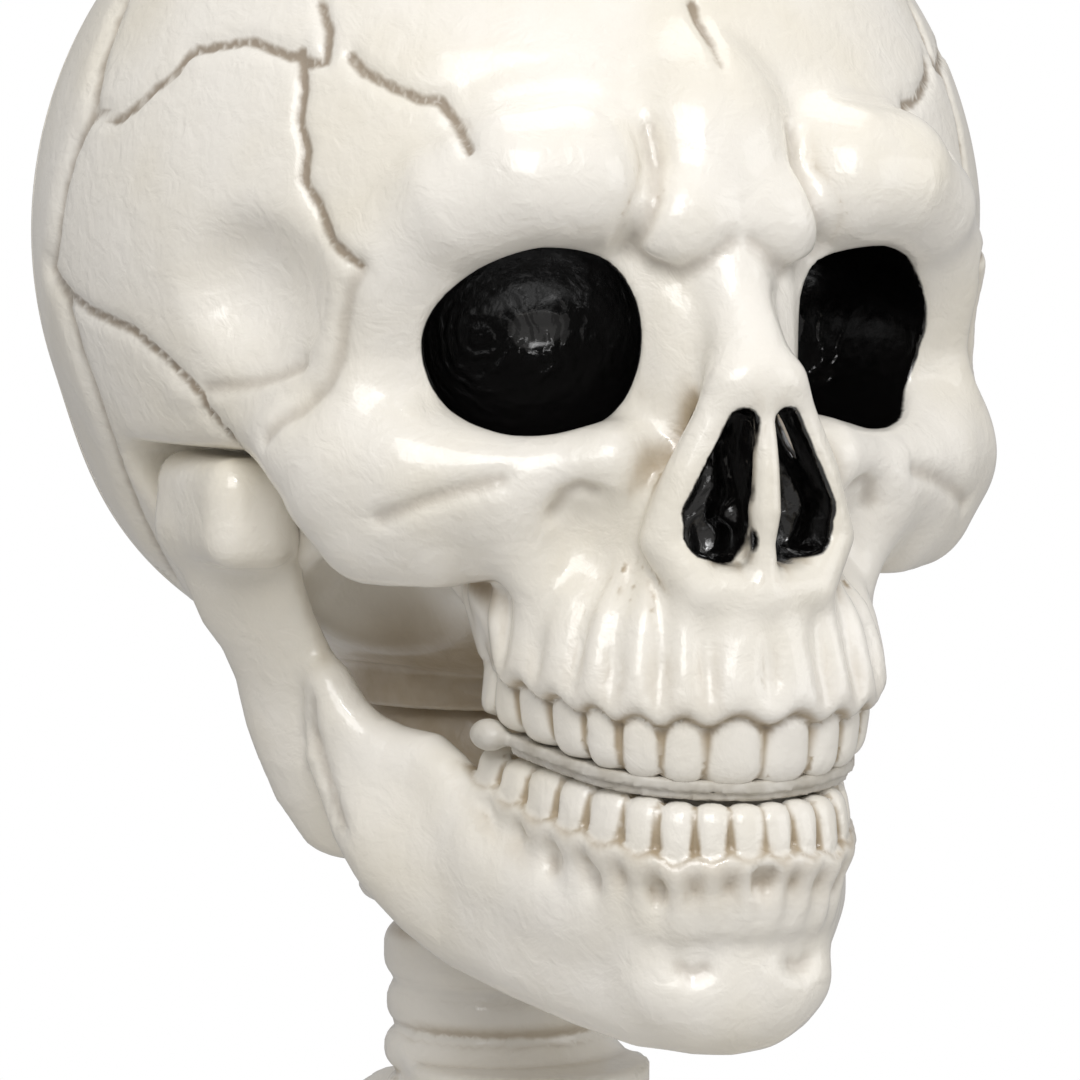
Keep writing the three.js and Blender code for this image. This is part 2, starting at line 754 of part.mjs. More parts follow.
function neck_swivel_piece() {
  const out = spot(0, 0, -1);
  const profile = [
    [0, -swivel_depth + clearance],
    [swivel_radius, -swivel_depth + clearance],
    [swivel_radius, clearance],
    [swivel_flange_radius, clearance],
    [swivel_flange_radius, clearance + swivel_flange_height],
    [0, clearance + swivel_flange_height],
  ];
  const stem = bone(
    [
      [drum_face.clone().addScaledVector(out, swivel_flange_height / 2), nod_lug_width / 2, nod_radius * 0.7],
      [nod_place.clone(), nod_lug_width / 2, nod_radius * 0.6],
    ],
    spot(1, 0, 0),
    limb_sides,
  );
  return turned(profile, out, drum_face, round_sides).add(stem);
}

function neck_column_piece() {
  const top = nod_place.z - nod_radius * 0.4;
  const profile = [[0, top], [neck_core_radius * 0.6, top]];
  const first = chest_top + collar_height + (neck_ring_count - 0.5) * neck_ring_pitch;
  for (let ring = 0; ring < neck_ring_count; ring += 1) {
    const middle = first - ring * neck_ring_pitch;
    profile.push([neck_core_radius, middle + neck_ring_pitch * 0.46]);
    profile.push([neck_ring_radius, middle + neck_ring_pitch * 0.2]);
    profile.push([neck_ring_radius, middle - neck_ring_pitch * 0.2]);
  }
  profile.push([neck_core_radius, chest_top + collar_height]);
  profile.push([neck_core_radius, chest_top + clearance]);
  profile.push([0, chest_top + clearance]);
  const outline = profile.reverse();
  return turned(outline, up, spot(0, neck_place_y, 0), drum_sides - 4);
}

// The chest: ribs as arcs from the spine to the breastbone
const rib_count = 10;
const rib_half_height = 5.2;
const rib_half_thickness = 2.9;
const rib_width_shares = [0.42, 0.62, 0.78, 0.88, 0.95, 0.98, 1, 1, 0.97, 0.9];
const rib_depth_shares = [0.44, 0.62, 0.76, 0.86, 0.93, 0.97, 1, 1, 0.97, 0.9];
const rib_first_drop = 8;
const rib_last_rise = 52;
const rib_step_forward = 1;
const rib_top = chest_top - rib_first_drop;
const rib_pitch = (chest_height - rib_first_drop - rib_last_rise) / (rib_count - 1);
const rib_fall = chest_height * 0.198;
const rib_overlap_turn = 0.06;
const breastbone_rise = 10;
const breastbone_half_width = 17;
const breastbone_half_thickness = 4.5;
const breastbone_length = rib_pitch * 6.7;
const vertebra_radius = 13.5;
const disc_radius = 10.5;
const split_place_y = spine_back - chest_depth * 0.36;

function rib_path(rib, side) {
  const half_width = chest_width / 2 * rib_width_shares[rib] - rib_half_thickness;
  const half_depth = chest_depth / 2 * rib_depth_shares[rib] - rib_half_thickness;
  const centre_y = spine_back - half_depth - (rib_count - rib) * rib_step_forward;
  return (turn) => spot(
    side * half_width * Math.sin(turn),
    centre_y + half_depth * Math.cos(turn),
    rib_top - rib * rib_pitch - rib_fall * (1 - Math.cos(turn)) / 2,
  );
}

function rib_split(rib) {
  const half_depth = chest_depth / 2 * rib_depth_shares[rib] - rib_half_thickness;
  const centre_y = spine_back - half_depth - (rib_count - rib) * rib_step_forward;
  return Math.acos((split_place_y - centre_y) / half_depth);
}

// Everything on one side of the flat seam between the chest's halves
function chest_side(way) {
  const depth = chest_depth * 2;
  const middle = split_place_y + way * (depth + clearance) / 2;
  return block(spot(0, middle, chest_top - chest_height / 2), spot(chest_width * 2, depth, chest_height * 2));
}

function rib_arc(rib, side, from, to, steps, swell) {
  const path = rib_path(rib, side);
  const stations = [];
  for (let step = 0; step <= steps; step += 1) {
    const turn = from + (to - from) * step / steps;
    const wide = 1 + swell * (step / steps);
    stations.push([path(turn), rib_half_height * wide, rib_half_thickness]);
  }
  return bone(stations, up, rib_sides);
}

function spine_curve(height_share) {
  const bow = Math.sin(Math.PI * Math.min(1, height_share));
  const y = neck_place_y + (loin_place_y - neck_place_y) * height_share + chest_depth * 0.1 * bow;
  return spot(0, y, chest_top - chest_height * height_share);
}

function chest_back_piece() {
  const vertebrae = 11;
  const stations = [];
  for (let bead = 0; bead < vertebrae; bead += 1) {
    for (const [share, radius] of [[0.1, disc_radius], [0.5, vertebra_radius]]) {
      stations.push([spine_curve((bead + share) / vertebrae), radius, radius]);
    }
  }
  stations.push([spine_curve(1), disc_radius, disc_radius]);
  const spine = bone(stations, spot(1, 0, 0), limb_sides);
  const ribs = [];
  for (let rib = 0; rib < rib_count; rib += 1) {
    for (const side of [1, -1]) {
      ribs.push(rib_arc(rib, side, 0, rib_split(rib) + rib_overlap_turn, 4, 0.15));
    }
  }
  return { spine, ribs: joined(ribs).intersect(chest_side(1)) };
}

// A collar at the top of the chest that the neck stands in
function collar() {
  const centre = spot(0, neck_place_y, chest_top + collar_height / 2);
  const ring = rod(centre, up, collar_radius, collar_height, drum_sides - 4);
  const room = centre.clone().add(spot(0, 0, clearance));
  const bore = rod(room, up, neck_core_radius + 3 * clearance, collar_height + clearance, drum_sides - 4);
  const floor = rod(
    centre.clone().add(spot(0, 0, -collar_height)),
    up,
    collar_radius * 0.8,
    collar_height,
    drum_sides - 4,
  );
  return ring.subtract(bore).add(floor.subtract(bore));
}

// Shoulders: the blade on the back and the boss that holds the arm's yoke
const shoulder_step_back = 4;
const shoulder_place_y = neck_place_y + shoulder_step_back;
const boss_face_x = shoulder_width / 2 - yoke_reach(shoulder_swivel, shoulder_joint);
const blade_half_thickness = 3;
const blade_height = 118;
const blade_middle_x = chest_width * 0.351;
const blade_half_width = (boss_face_x - blade_middle_x) / 1.2;
const blade_ridge_radius = 6;

// From the blade's top to its tip: inward, back and down, then its half width
const blade_shares = [
  [0, -0.09, 0.12, 0.55],
  [0, -0.065, -0.07, 1],
  [0.04, 0, -0.42, 0.66],
  [0.17, 0.02, -1, 0.16],
];

function shoulder_blade(side) {
  const boss_x = side * (boss_face_x - shoulder_swivel.reach / 2);
  const boss_centre = spot(boss_x, shoulder_place_y, shoulder_height);
  const boss = rod(boss_centre, spot(1, 0, 0), shoulder_swivel.boss, shoulder_swivel.reach, round_sides);
  const back_y = spine_back - chest_depth * 0.13;
  const on_blade = (outward_share, back_share, up_share) => spot(
    side * (blade_middle_x + blade_half_width * outward_share),
    back_y + blade_half_width * back_share,
    shoulder_height + blade_height * up_share,
  );
  const blade = bone(
    blade_shares.map(([inward, back, up_share, width]) => {
      return [on_blade(-inward, back, up_share), blade_half_width * width, blade_half_thickness];
    }),
    spot(0.82 * side, -0.57, 0),
    limb_sides,
  );
  const ridge_end = spot(
    side * (boss_face_x - shoulder_swivel.reach * 0.55),
    shoulder_place_y,
    shoulder_height + shoulder_swivel.boss,
  );
  const ridge = bone(
    [
      [on_blade(-0.7, 0.26, 0.02), blade_ridge_radius * 0.67, blade_ridge_radius * 0.67],
      [on_blade(0.22, -0.09, 0.12), blade_ridge_radius, blade_ridge_radius * 0.83],
      [ridge_end, blade_ridge_radius * 1.33, blade_ridge_radius],
    ],
    up,
    small_sides,
  );
  const neck_part = bone(
    [
      [on_blade(0.4, -0.26, -0.05), shoulder_swivel.boss * 0.8, shoulder_swivel.boss * 0.4],
      [boss_centre.clone(), shoulder_swivel.boss * 0.73, shoulder_swivel.boss * 0.6],
    ],
    up,
    small_sides,
  );
  return { solids: [boss, blade, ridge, neck_part], bore: swivel_hole(side, boss_face_x, shoulder_swivel) };
}

function swivel_hole(side, face_x, size, place_y = shoulder_place_y, height = shoulder_height) {
  const centre = spot(side * (face_x - size.reach / 2), place_y, height);
  return hole(centre, spot(1, 0, 0), size.stub + clearance, size.reach + 2 * overrun, round_sides);
}

// Room for a yoke's flange and the limb's head beside the boss
function swivel_room(side, face_x, radius, place_y, height) {
  const centre = spot(side * (face_x + radius), place_y, height);
  return rod(centre, spot(1, 0, 0), radius, 2 * radius, round_sides);
}

function chest_back() {
  const { spine, ribs } = chest_back_piece();
  const blades = [1, -1].map((side) => shoulder_blade(side));
  const solids = [spine, ribs, collar(), ...blades.flatMap((blade) => blade.solids)];
  const foot_of_spine = spot(0, loin_place_y, chest_bottom);
  const plug = rod(foot_of_spine, up, loin_plug_radius + clearance, 2 * loin_plug_depth, round_sides);
  const below = foot_of_spine.clone().add(spot(0, 0, -overrun));
  const under = rod(below, up, loin_radius * 1.5, 2 * overrun, round_sides);
  return without(joined(solids), [...blades.map((blade) => blade.bore), plug, under]);
}

// The breastbone's half widths from its top to its tip
const breastbone_width_shares = [0.8, 1.5, 1.1, 0.9, 1.2, 1, 0.45];
const joined_ribs = 6;
const rib_end_share = 0.985;

// How far round each rib runs: the upper ones to the breastbone, the lower ones less and less
function rib_end(rib) {
  return Math.PI * (rib < joined_ribs ? rib_end_share : 0.93 - 0.075 * (rib - joined_ribs));
}

function chest_front() {
  const front_y = (rib) => rib_path(rib, 1)(Math.PI).y;
  const bone_top = rib_top - rib_fall + breastbone_rise;
  const last = breastbone_width_shares.length - 1;
  const stations = breastbone_width_shares.map((share, row) => {
    const rib = (row / last) * (joined_ribs - 0.8);
    const near = Math.min(rib_count - 2, Math.floor(rib));
    const y = front_y(near) + (front_y(near + 1) - front_y(near)) * (rib - near);
    const z = bone_top - breastbone_length * row / last;
    return [spot(0, y, z), breastbone_half_width * share, breastbone_half_thickness];
  });
  const solids = [bone(stations, spot(1, 0, 0), small_sides)];
  for (let rib = 0; rib < rib_count; rib += 1) {
    const from = rib_split(rib) - rib_overlap_turn;
    for (const side of [1, -1]) {
      solids.push(rib_arc(rib, side, from, rib_end(rib), 4, 0.1).intersect(chest_side(-1)));
    }
  }
  for (const side of [1, -1]) {
    solids.push(costal_margin(side));
    solids.push(collar_bone(side, stations[0][0]));
  }
  return joined(solids);
}

// The gristle edge that ties the lower ribs to the breastbone
const margin_half_height = 6.4;

function costal_margin(side) {
  const stations = [];
  for (let rib = joined_ribs - 1; rib < rib_count; rib += 1) {
    const end = rib_path(rib, side)(rib_end(rib));
    stations.push([end, margin_half_height, rib_half_thickness * 1.2]);
  }
  return bone(stations, up, small_sides);
}

const collar_bone_radius = 6;

function collar_bone(side, start) {
  const radius = collar_bone_radius;
  const end = spot(
    side * (boss_face_x - shoulder_swivel.reach / 2),
    shoulder_place_y - shoulder_swivel.boss - radius - clearance,
    shoulder_height + shoulder_swivel.boss * 0.3,
  );
  const bend = (share, back_share, up_share) => {
    const place = start.clone().lerp(end, share);
    return place.add(spot(0, radius * back_share, radius * up_share));
  };
  const stations = [
    [start.clone().add(spot(side * breastbone_half_width * 0.4, 0, 0)), radius * 1.33, radius * 1.17],
    [bend(0.3, -4.3, 1.7), radius, radius],
    [bend(0.65, -0.55, 2.2), radius * 0.92, radius * 0.92],
    [end, radius * 1.17, radius],
  ];
  return bone(stations, up, small_sides);
}

// The loins: stacked vertebrae with side and back spurs
const loin_plug_radius = 7;
const loin_plug_depth = 9;
const loin_beads = 5;
const loin_radius = 19;
const loin_waist_radius = 14.5;
const spur_length = 21;
const spur_radius = 4.6;

function loin_piece() {
  const pitch = (loin_length - 2 * clearance) / loin_beads;
  const top = chest_bottom - clearance;
  const profile = [
    [0, top + loin_plug_depth],
    [loin_plug_radius, top + loin_plug_depth],
    [loin_plug_radius, top],
  ];
  const spurs = [];
  for (let bead = 0; bead < loin_beads; bead += 1) {
    const start = top - bead * pitch;
    profile.push([loin_waist_radius, start]);
    profile.push([loin_radius, start - pitch * 0.16]);
    profile.push([loin_radius, start - pitch * 0.76]);
    profile.push([loin_waist_radius, start - pitch * 0.92]);
    spurs.push(...loin_spurs(start - pitch * 0.46));
  }
  const bottom = pelvis_top + clearance;
  profile.push([loin_plug_radius, bottom]);
  profile.push([loin_plug_radius, bottom - loin_plug_depth]);
  profile.push([0, bottom - loin_plug_depth]);
  const column = turned(profile.reverse(), up, spot(0, loin_place_y, 0), limb_sides + 2);
  return joined([column, ...spurs]);
}

function loin_spurs(height) {
  return [[1, 0.12], [-1, 0.12], [0, 1]].map(([x, y]) => {
    const out = spot(x, y, 0).normalize();
    const root = spot(0, loin_place_y, height).addScaledVector(out, loin_waist_radius * 0.6);
    const tip = root.clone().addScaledVector(out, spur_length);
    const stations = [[root, spur_radius, spur_radius * 1.6], [tip, spur_radius * 0.6, spur_radius]];
    return bone(stations, up, rib_sides);
  });
}

// The pelvis
const pelvis_width = 252;
const crest_half_depth = 58;
const wing_half_thickness = 5;
const sacrum_half_width = 44;
const sacrum_half_thickness = 20;
const sacrum_height = 112;
const sacrum_bow = 30;
const pubis_reach = 46;
const pubis_radius = 9;
const seat_drop = 62;
const hip_face_x = hip_width / 2 - yoke_reach(hip_swivel, hip_joint);

// Down the sacrum: back and down, then half width and thickness
const sacrum_shares = [
  [0, 0, 0.62, 1],
  [0.33, 0.18, 1, 0.85],
  [0.8, 0.49, 0.66, 0.65],
  [1, 0.79, 0.3, 0.45],
  [0.73, 1, 0.12, 0.25],
];

// Up the wing above the hip: outward, back and up, then half width and thickness
const wing_shares = [
  [-0.14, 0.14, 0.35, 0.62, 1.2],
  [-0.03, 0.21, 0.69, 0.92, 1],
  [0, 0.22, 0.93, 1, 0.9],
  [0, 0.22, 1.04, 0.82, 1.3],
];

function pelvis_piece() {
  const sacrum_top = spot(0, loin_place_y, pelvis_top);
  const sacrum_place = (x_share, back_share, down_share) => sacrum_top.clone().add(
    spot(sacrum_half_width * x_share, sacrum_bow * back_share, -sacrum_height * down_share),
  );
  const sacrum = bone(
    sacrum_shares.map(([back, down, width, thickness]) => {
      return [sacrum_place(0, back, down), sacrum_half_width * width, sacrum_half_thickness * thickness];
    }),
    spot(1, 0, 0),
    limb_sides,
  );
  const solids = [sacrum];
  for (const side of [1, -1]) {
    solids.push(...hip_bone(side, sacrum_place(side * 0.6, 0.47, 0.27)));
  }
  const plug_room = 2 * (loin_plug_depth + clearance);
  const plug = rod(sacrum_top, up, loin_plug_radius + clearance, plug_room, round_sides);
  const bores = [1, -1].map((side) => swivel_hole(side, hip_face_x, hip_swivel, hip_place_y, hip_height));
  const room_radius = hip_swivel.boss * 1.3;
  const rooms = [1, -1].map((side) => swivel_room(side, hip_face_x, room_radius, hip_place_y, hip_height));
  const above_centre = sacrum_top.clone().add(spot(0, 0, 2 * overrun));
  const above = rod(above_centre, up, loin_radius * 1.5, 4 * overrun, round_sides);
  return without(joined(solids), [plug, above, ...bores, ...rooms]);
}

function hip_bone(side, sacrum_side) {
  const boss_centre = spot(side * (hip_face_x - hip_swivel.reach / 2), hip_place_y, hip_height);
  const boss = rod(boss_centre, spot(1, 0, 0), hip_swivel.boss, hip_swivel.reach, round_sides);
  const crest_x = pelvis_width / 2 - crest_half_depth * 0.52;
  const on_wing = (outward_share, back_share, up_share) => spot(
    side * (crest_x + crest_half_depth * outward_share),
    hip_place_y + crest_half_depth * back_share,
    hip_height + hip_drop * up_share,
  );
  const root = boss_centre.clone().add(spot(0, crest_half_depth * 0.03, hip_drop * 0.06));
  const wing = bone(
    [
      [root, crest_half_depth * 0.38, wing_half_thickness * 1.8],
      ...wing_shares.map(([outward, back, up_share, width, thickness]) => {
        return [on_wing(outward, back, up_share), crest_half_depth * width, wing_half_thickness * thickness];
      }),
    ],
    spot(-0.55 * side, 0.83, 0),
    limb_sides + 2,
  );
  const join = bone(
    [
      [sacrum_side, sacrum_half_width * 0.32, sacrum_height * 0.25],
      [on_wing(-0.45, 0.8, 0.76), sacrum_half_width * 0.18, sacrum_height * 0.24],
    ],
    spot(0, 1, 0),
    small_sides,
  );
  return [boss, wing, join, ...hip_bars(side, boss_centre)];
}

// The bars under the hip: to the middle in front, down to the seat, and between the two
function hip_bars(side, boss_centre) {
  const radius = pubis_radius;
  const socket = spot(0, hip_place_y, hip_height);
  const front = socket.clone().add(spot(side * pubis_reach * 0.2, -pubis_reach, -pubis_reach * 0.4));
  const seat = socket.clone().add(spot(side * seat_drop * 0.97, seat_drop * 0.42, -seat_drop));
  const between = socket.clone().add(spot(side * seat_drop * 0.55, -seat_drop * 0.19, -seat_drop * 0.84));
  const middle = spot(0, front.y - radius * 0.22, front.z);
  const bar = (rows, across) => {
    const stations = rows.map(([place, wide, deep]) => [place.clone(), radius * wide, radius * deep]);
    return bone(stations, across, small_sides);
  };
  return [
    bar([[boss_centre, 1.22, 1.1], [front, 1, 0.78]], up),
    bar([[boss_centre, 1.55, 1.33], [seat, 1.22, 1]], spot(0, 1, 0)),
    bar([[seat, 0.9, 1], [between, 0.6, 0.78], [front, 0.67, 0.9]], up),
    bar([[front, 1, 0.78], [middle, 1, 0.78]], up),
  ];
}

// A bone between two joints, from rows of shares: how far along, then how far out and back
// and the half sizes across and through, all four of the bone's radius
function shaft(start, end, side, radius, row_shares, sides) {
  const stations = row_shares.map(([along, out, back, across, through]) => {
    const shift = spot(side * out, back, 0).multiplyScalar(radius);
    return [start.clone().lerp(end, along).add(shift), radius * across, radius * through];
  });
  return bone(stations, spot(1, 0, 0), sides);
}

// Arms
const upper_arm_radius = 10;
const forearm_radius = 10;

function arm(side) {
  const shoulder = spot(side * shoulder_width / 2, shoulder_place_y, shoulder_height);
  const elbow = shoulder.clone().add(spot(0, 0, -upper_arm_length));
  const wrist = elbow.clone().add(spot(0, 0, -forearm_length));
  const lift_axis = spot(0, 1, 0);
  const shoulder_hinge = hinged(
    yoke(
      spot(side * boss_face_x, shoulder_place_y, shoulder_height),
      spot(side, 0, 0),
      shoulder_swivel,
      shoulder_joint,
      lift_axis,
    ),
    upper_arm_form(side, shoulder, elbow),
    shoulder,
    lift_axis,
    shoulder_joint,
  );
  const lower = forearm_form(side, elbow, wrist);
  const elbow_hinge = hinged(shoulder_hinge.ears, lower, elbow, spot(1, 0, 0), elbow_joint);
  const wrist_hinge = hinged(hand_form(side, wrist), elbow_hinge.ears, wrist, spot(1, 0, 0), wrist_joint);
  return {
    shoulder_yoke: shoulder_hinge.tongue,
    shoulder_bolt: shoulder_hinge.bolt,
    upper_arm: elbow_hinge.tongue,
    elbow_bolt: elbow_hinge.bolt,
    forearm: wrist_hinge.ears,
    wrist_bolt: wrist_hinge.bolt,
    hand: wrist_hinge.tongue,
  };
}

function upper_arm_form(side, shoulder, elbow) {
  const past_shoulder = shoulder_joint.radius * 1.5 / upper_arm_length;
  const elbow_share = elbow_joint.radius / upper_arm_length;
  const row_shares = [
    [0, 0, 0, 0.6, 0.6],
    [past_shoulder, 0, 0, 0.75, 0.95],
    [0.16, 0, 0, 1, 1.05],
    [0.45, 0, 0, 0.86, 0.9],
    [0.72, 0, 0, 0.88, 0.8],
    [1 - 1.9 * elbow_share, 0, 0, 1.25, 0.8],
    [1 - 1.1 * elbow_share, 0, 0, 1.1, 0.66],
    [1, 0, 0, 0.5, 0.5],
  ];
  return shaft(shoulder, elbow, side, upper_arm_radius, row_shares, limb_sides);
}

// Two bones side by side: the inner one at the elbow, the outer one at the wrist
function forearm_form(side, elbow, wrist) {
  const near = elbow_joint.radius * 1.5 / forearm_length;
  const wrist_near = 1 - wrist_joint.radius * 1.6 / forearm_length;
  const inner_shares = [
    [0, 0, 0, 0.8, 0.6],
    [near, 0, 0, 1, 0.75],
    [0.2, -0.45, 0, 0.6, 0.6],
    [0.5, -0.9, 0, 0.5, 0.54],
    [0.84, -0.72, 0, 0.5, 0.56],
    [wrist_near, -0.32, 0, 0.5, 0.6],
  ];
  const outer_shares = [
    [near, 0, 0, 0.8, 0.65],
    [0.2, 0.45, 0, 0.55, 0.55],
    [0.5, 0.9, 0, 0.54, 0.6],
    [0.82, 0.72, 0, 0.6, 0.66],
    [wrist_near, 0.18, 0, 0.7, 0.6],
    [1, 0, 0, 0.5, 0.4],
  ];
  const bones = [inner_shares, outer_shares].map((row_shares) => {
    return shaft(elbow, wrist, side, forearm_radius, row_shares, small_sides);
  });
  return joined(bones);
}

// A hand hangs with its palm forward: four fingers fan out and the thumb stands off outward
const finger_reach_shares = [0.93, 1, 0.95, 0.8];
const finger_radius = 5;
const finger_pitch = 9.5;
const finger_spread = 14;
const palm_half_width = 19;

function hand_form(side, wrist) {
  const finger_tips = wrist.clone().add(spot(0, 0, -hand_length));
  const palm_shares = [
    [0, 0, 0, 0.16, 0.26],
    [0.09, 0, 0, 0.24, 0.24],
    [0.15, 0, 0, 0.79, 0.34],
    [0.24, 0, 0, 1, 0.32],
    [0.28, 0, 0, 0.95, 0.26],
  ];
  const palm = shaft(wrist, finger_tips, side, palm_half_width, palm_shares, limb_sides);
  const fingers = finger_reach_shares.map((reach, finger) => {
    const lean = side * (1.5 - finger);
    return digit(wrist, [lean * finger_pitch, lean * finger_spread], [0.22, reach], finger_radius);
  });
  const thumb_places = [side * finger_pitch * 1.3, side * finger_pitch * 4.6];
  const thumb = digit(wrist, thumb_places, [0.15, 0.62], finger_radius * 1.1);
  return joined([palm, ...fingers, thumb]);
}

// A finger: a shank, then its bones with swollen knuckles, curling forward a little
function digit(wrist, [root_x, tip_x], [root_share, tip_share], radius) {
  const swell_shares = [[0, 1], [0.22, 0.75], [0.4, 1.15], [0.55, 0.75], [0.72, 1], [1, 0.55]];
  const stations = swell_shares.map(([share, swell]) => {
    const curl = -hand_length * 0.1 * share * share;
    const x = root_x + (tip_x - root_x) * share;
    const drop = -hand_length * (root_share + (tip_share - root_share) * share);
    return [wrist.clone().add(spot(x, curl, drop)), radius * swell, radius * swell];
  });
  return bone(stations, spot(1, 0, 0), digit_sides);
}

// Legs
const thigh_radius = 12;
const shin_radius = 12;
const ankle_step_back = 6;

function leg(side) {
  const hip = spot(side * hip_width / 2, hip_place_y, hip_height);
  const knee = spot(side * knee_spread / 2, hip_place_y, hip_height - thigh_length);
  const ankle = spot(side * ankle_spread / 2, hip_place_y + ankle_step_back, knee.z - shin_length);
  const swing_axis = spot(0, 1, 0);
  const hip_face = spot(side * hip_face_x, hip_place_y, hip_height);
  const hip_hinge = hinged(
    yoke(hip_face, spot(side, 0, 0), hip_swivel, hip_joint, swing_axis),
    thigh_form(side, hip, knee),
    hip,
    swing_axis,
    hip_joint,
  );
  const knee_hinge = hinged(hip_hinge.ears, shin_form(side, knee, ankle), knee, spot(1, 0, 0), knee_joint);
  const ankle_hinge = hinged(foot_form(side, ankle), knee_hinge.ears, ankle, spot(1, 0, 0), ankle_joint);
  return {
    hip_yoke: hip_hinge.tongue,
    hip_bolt: hip_hinge.bolt,
    thigh: knee_hinge.tongue,
    knee_bolt: knee_hinge.bolt,
    shin: ankle_hinge.ears,
    ankle_bolt: ankle_hinge.bolt,
    foot: ankle_hinge.tongue,
  };
}

function thigh_form(side, hip, knee) {
  const knee_share = knee_joint.radius / thigh_length;
  const row_shares = [
    [0, 0, 0, 0.67, 0.67],
    [0.06, 0.08, 0, 1, 1],
    [0.12, 0.17, 0, 1.25, 1.17],
    [0.24, 0, -0.25, 1, 1],
    [0.5, 0, -0.5, 0.92, 0.96],
    [0.78, 0, -0.25, 1.04, 0.92],
    [1 - 2.1 * knee_share, 0, 0, 1.58, 1.08],
    [1 - 1.2 * knee_share, 0, 0, 1.42, 0.83],
    [1, 0, 0, 0.58, 0.58],
  ];
  return shaft(hip, knee, side, thigh_radius, row_shares, limb_sides);
}

// The thick shin bone, and the thin bone beside it
function shin_form(side, knee, ankle) {
  const ankle_share = ankle_joint.radius / shin_length;
  const thick_shares = [
    [0, 0, 0, 0.92, 0.67],
    [1.3 * knee_joint.radius / shin_length, 0, 0, 1.42, 0.88],
    [0.14, 0, 0, 1.17, 0.96],
    [0.35, 0, 0, 0.83, 0.88],
    [0.65, 0, 0, 0.72, 0.75],
    [1 - 2.4 * ankle_share, 0, 0, 0.83, 0.79],
    [1 - 1.2 * ankle_share, 0, 0, 1, 0.63],
    [1, 0, 0, 0.42, 0.5],
  ];
  const thin_shares = [
    [0.1, 1, 0.42, 0.5, 0.5],
    [0.2, 1.42, 0.5, 0.42, 0.42],
    [0.55, 1.33, 0.42, 0.37, 0.37],
    [0.84, 1, 0.25, 0.4, 0.4],
    [0.93, 0.67, 0, 0.46, 0.46],
  ];
  const thick = shaft(knee, ankle, side, shin_radius, thick_shares, limb_sides);
  return thick.add(shaft(knee, ankle, side, shin_radius, thin_shares, small_sides));
}

const toe_radius = 6;
const foot_half_width = 34;
const toe_reach_shares = [0.76, 0.745, 0.71, 0.66, 0.6];

// From the heel to the ball of the foot: back and up, then half width and height
const heel_shares = [
  [0.24, 0.33, 0.26, 0.18],
  [0.18, 0.23, 0.47, 0.3],
  [0.04, 0.41, 0.44, 0.23],
  [-0.16, 0.42, 0.59, 0.21],
  [-0.3, 0.33, 0.74, 0.15],
];

function foot_form(side, ankle) {
  const sole = ankle.clone().add(spot(0, 0, -ankle_height));
  const under_ankle = ankle.clone().add(spot(0, 0, -ankle_joint.radius));
  const post_shares = [[0, 0, 0, 0.4, 0.48], [1.3, 0, -0.16, 0.48, 0.72], [2.2, 0, -0.32, 1.04, 1.44]];
  const ankle_post = shaft(ankle, under_ankle, side, ankle_joint.radius, post_shares, limb_sides);
  const heel = bone(
    heel_shares.map(([back, height, width, tall]) => {
      const place = sole.clone().add(spot(0, foot_length * back, ankle_height * height));
      return [place, foot_half_width * width, ankle_height * tall];
    }),
    spot(1, 0, 0),
    limb_sides,
  );
  const toes = toe_reach_shares.map((reach, toe) => foot_toe(side, sole, reach, toe));
  const floor_cut = block(
    sole.clone().add(spot(0, 0, -foot_length / 2)),
    spot(foot_length * 2, foot_length * 4, foot_length),
  );
  return joined([ankle_post, heel, ...toes]).subtract(floor_cut);
}

function foot_toe(side, sole, reach, toe) {
  const swell_shares = [[0, 1.1], [0.35, 0.8], [0.62, 1.1], [0.76, 0.8], [1, 0.7]];
  const lean = -side * foot_half_width * (1.9 - toe) / 2;
  const radius = toe_radius * (toe === 0 ? 1.45 : 1);
  const root = sole.clone().add(spot(lean / 2, -foot_length * 0.22, ankle_height / 3));
  const tip = sole.clone().add(spot(lean, -foot_length * reach, toe_radius * 0.8));
  const stations = swell_shares.map(([share, swell]) => {
    const place = root.clone().lerp(tip, share);
    place.z = root.z + (tip.z - root.z) * Math.sin(share * Math.PI / 2);
    return [place, radius * swell, radius * swell];
  });
  return bone(stations, spot(1, 0, 0), digit_sides);
}

// The assembly
const skeleton = new THREE.Group();

function show(name, solid, finish, frame = skeleton) {
  const geometry = geometry_of(solid);
  geometry.translate(-frame.position.x, -frame.position.y, -frame.position.z);
  const mesh = new THREE.Mesh(geometry, new THREE.MeshStandardMaterial(finish));
  mesh.name = name;
  frame.add(mesh);
}

// Each arm stands a little away from the body: it is turned outward at the shoulder's hinge
function leaning_frame(side) {
  const frame = new THREE.Group();
  frame.position.set(side * shoulder_width / 2, shoulder_place_y, shoulder_height);
  frame.rotation.y = -side * arm_lean;
  skeleton.add(frame);
  return frame;
}

const head = head_pieces();
show('skull_front', head.front, ivory);
show('skull_back', head.back, ivory);
show('bite_plate', bite_plate_piece(), ivory_shade);
show('jaw', jaw_piece(), ivory);
show('hanging_loop', loop_piece(), bright_steel);

const nod_hinge = hinged(
  neck_swivel_piece(),
  neck_column_piece(),
  nod_place,
  spot(1, 0, 0),
  { radius: nod_radius, tongue: nod_lug_width, ear: nod_ear_width },
);
show('neck_swivel', nod_hinge.tongue, ivory_shade);
show('neck_bolt', nod_hinge.bolt, bright_steel);
show('neck_column', nod_hinge.ears, ivory);
show('ribcage_back', chest_back(), ivory);
show('ribcage_front', chest_front(), ivory);
show('lumbar_spine', loin_piece(), ivory);
show('pelvis', pelvis_piece(), ivory);

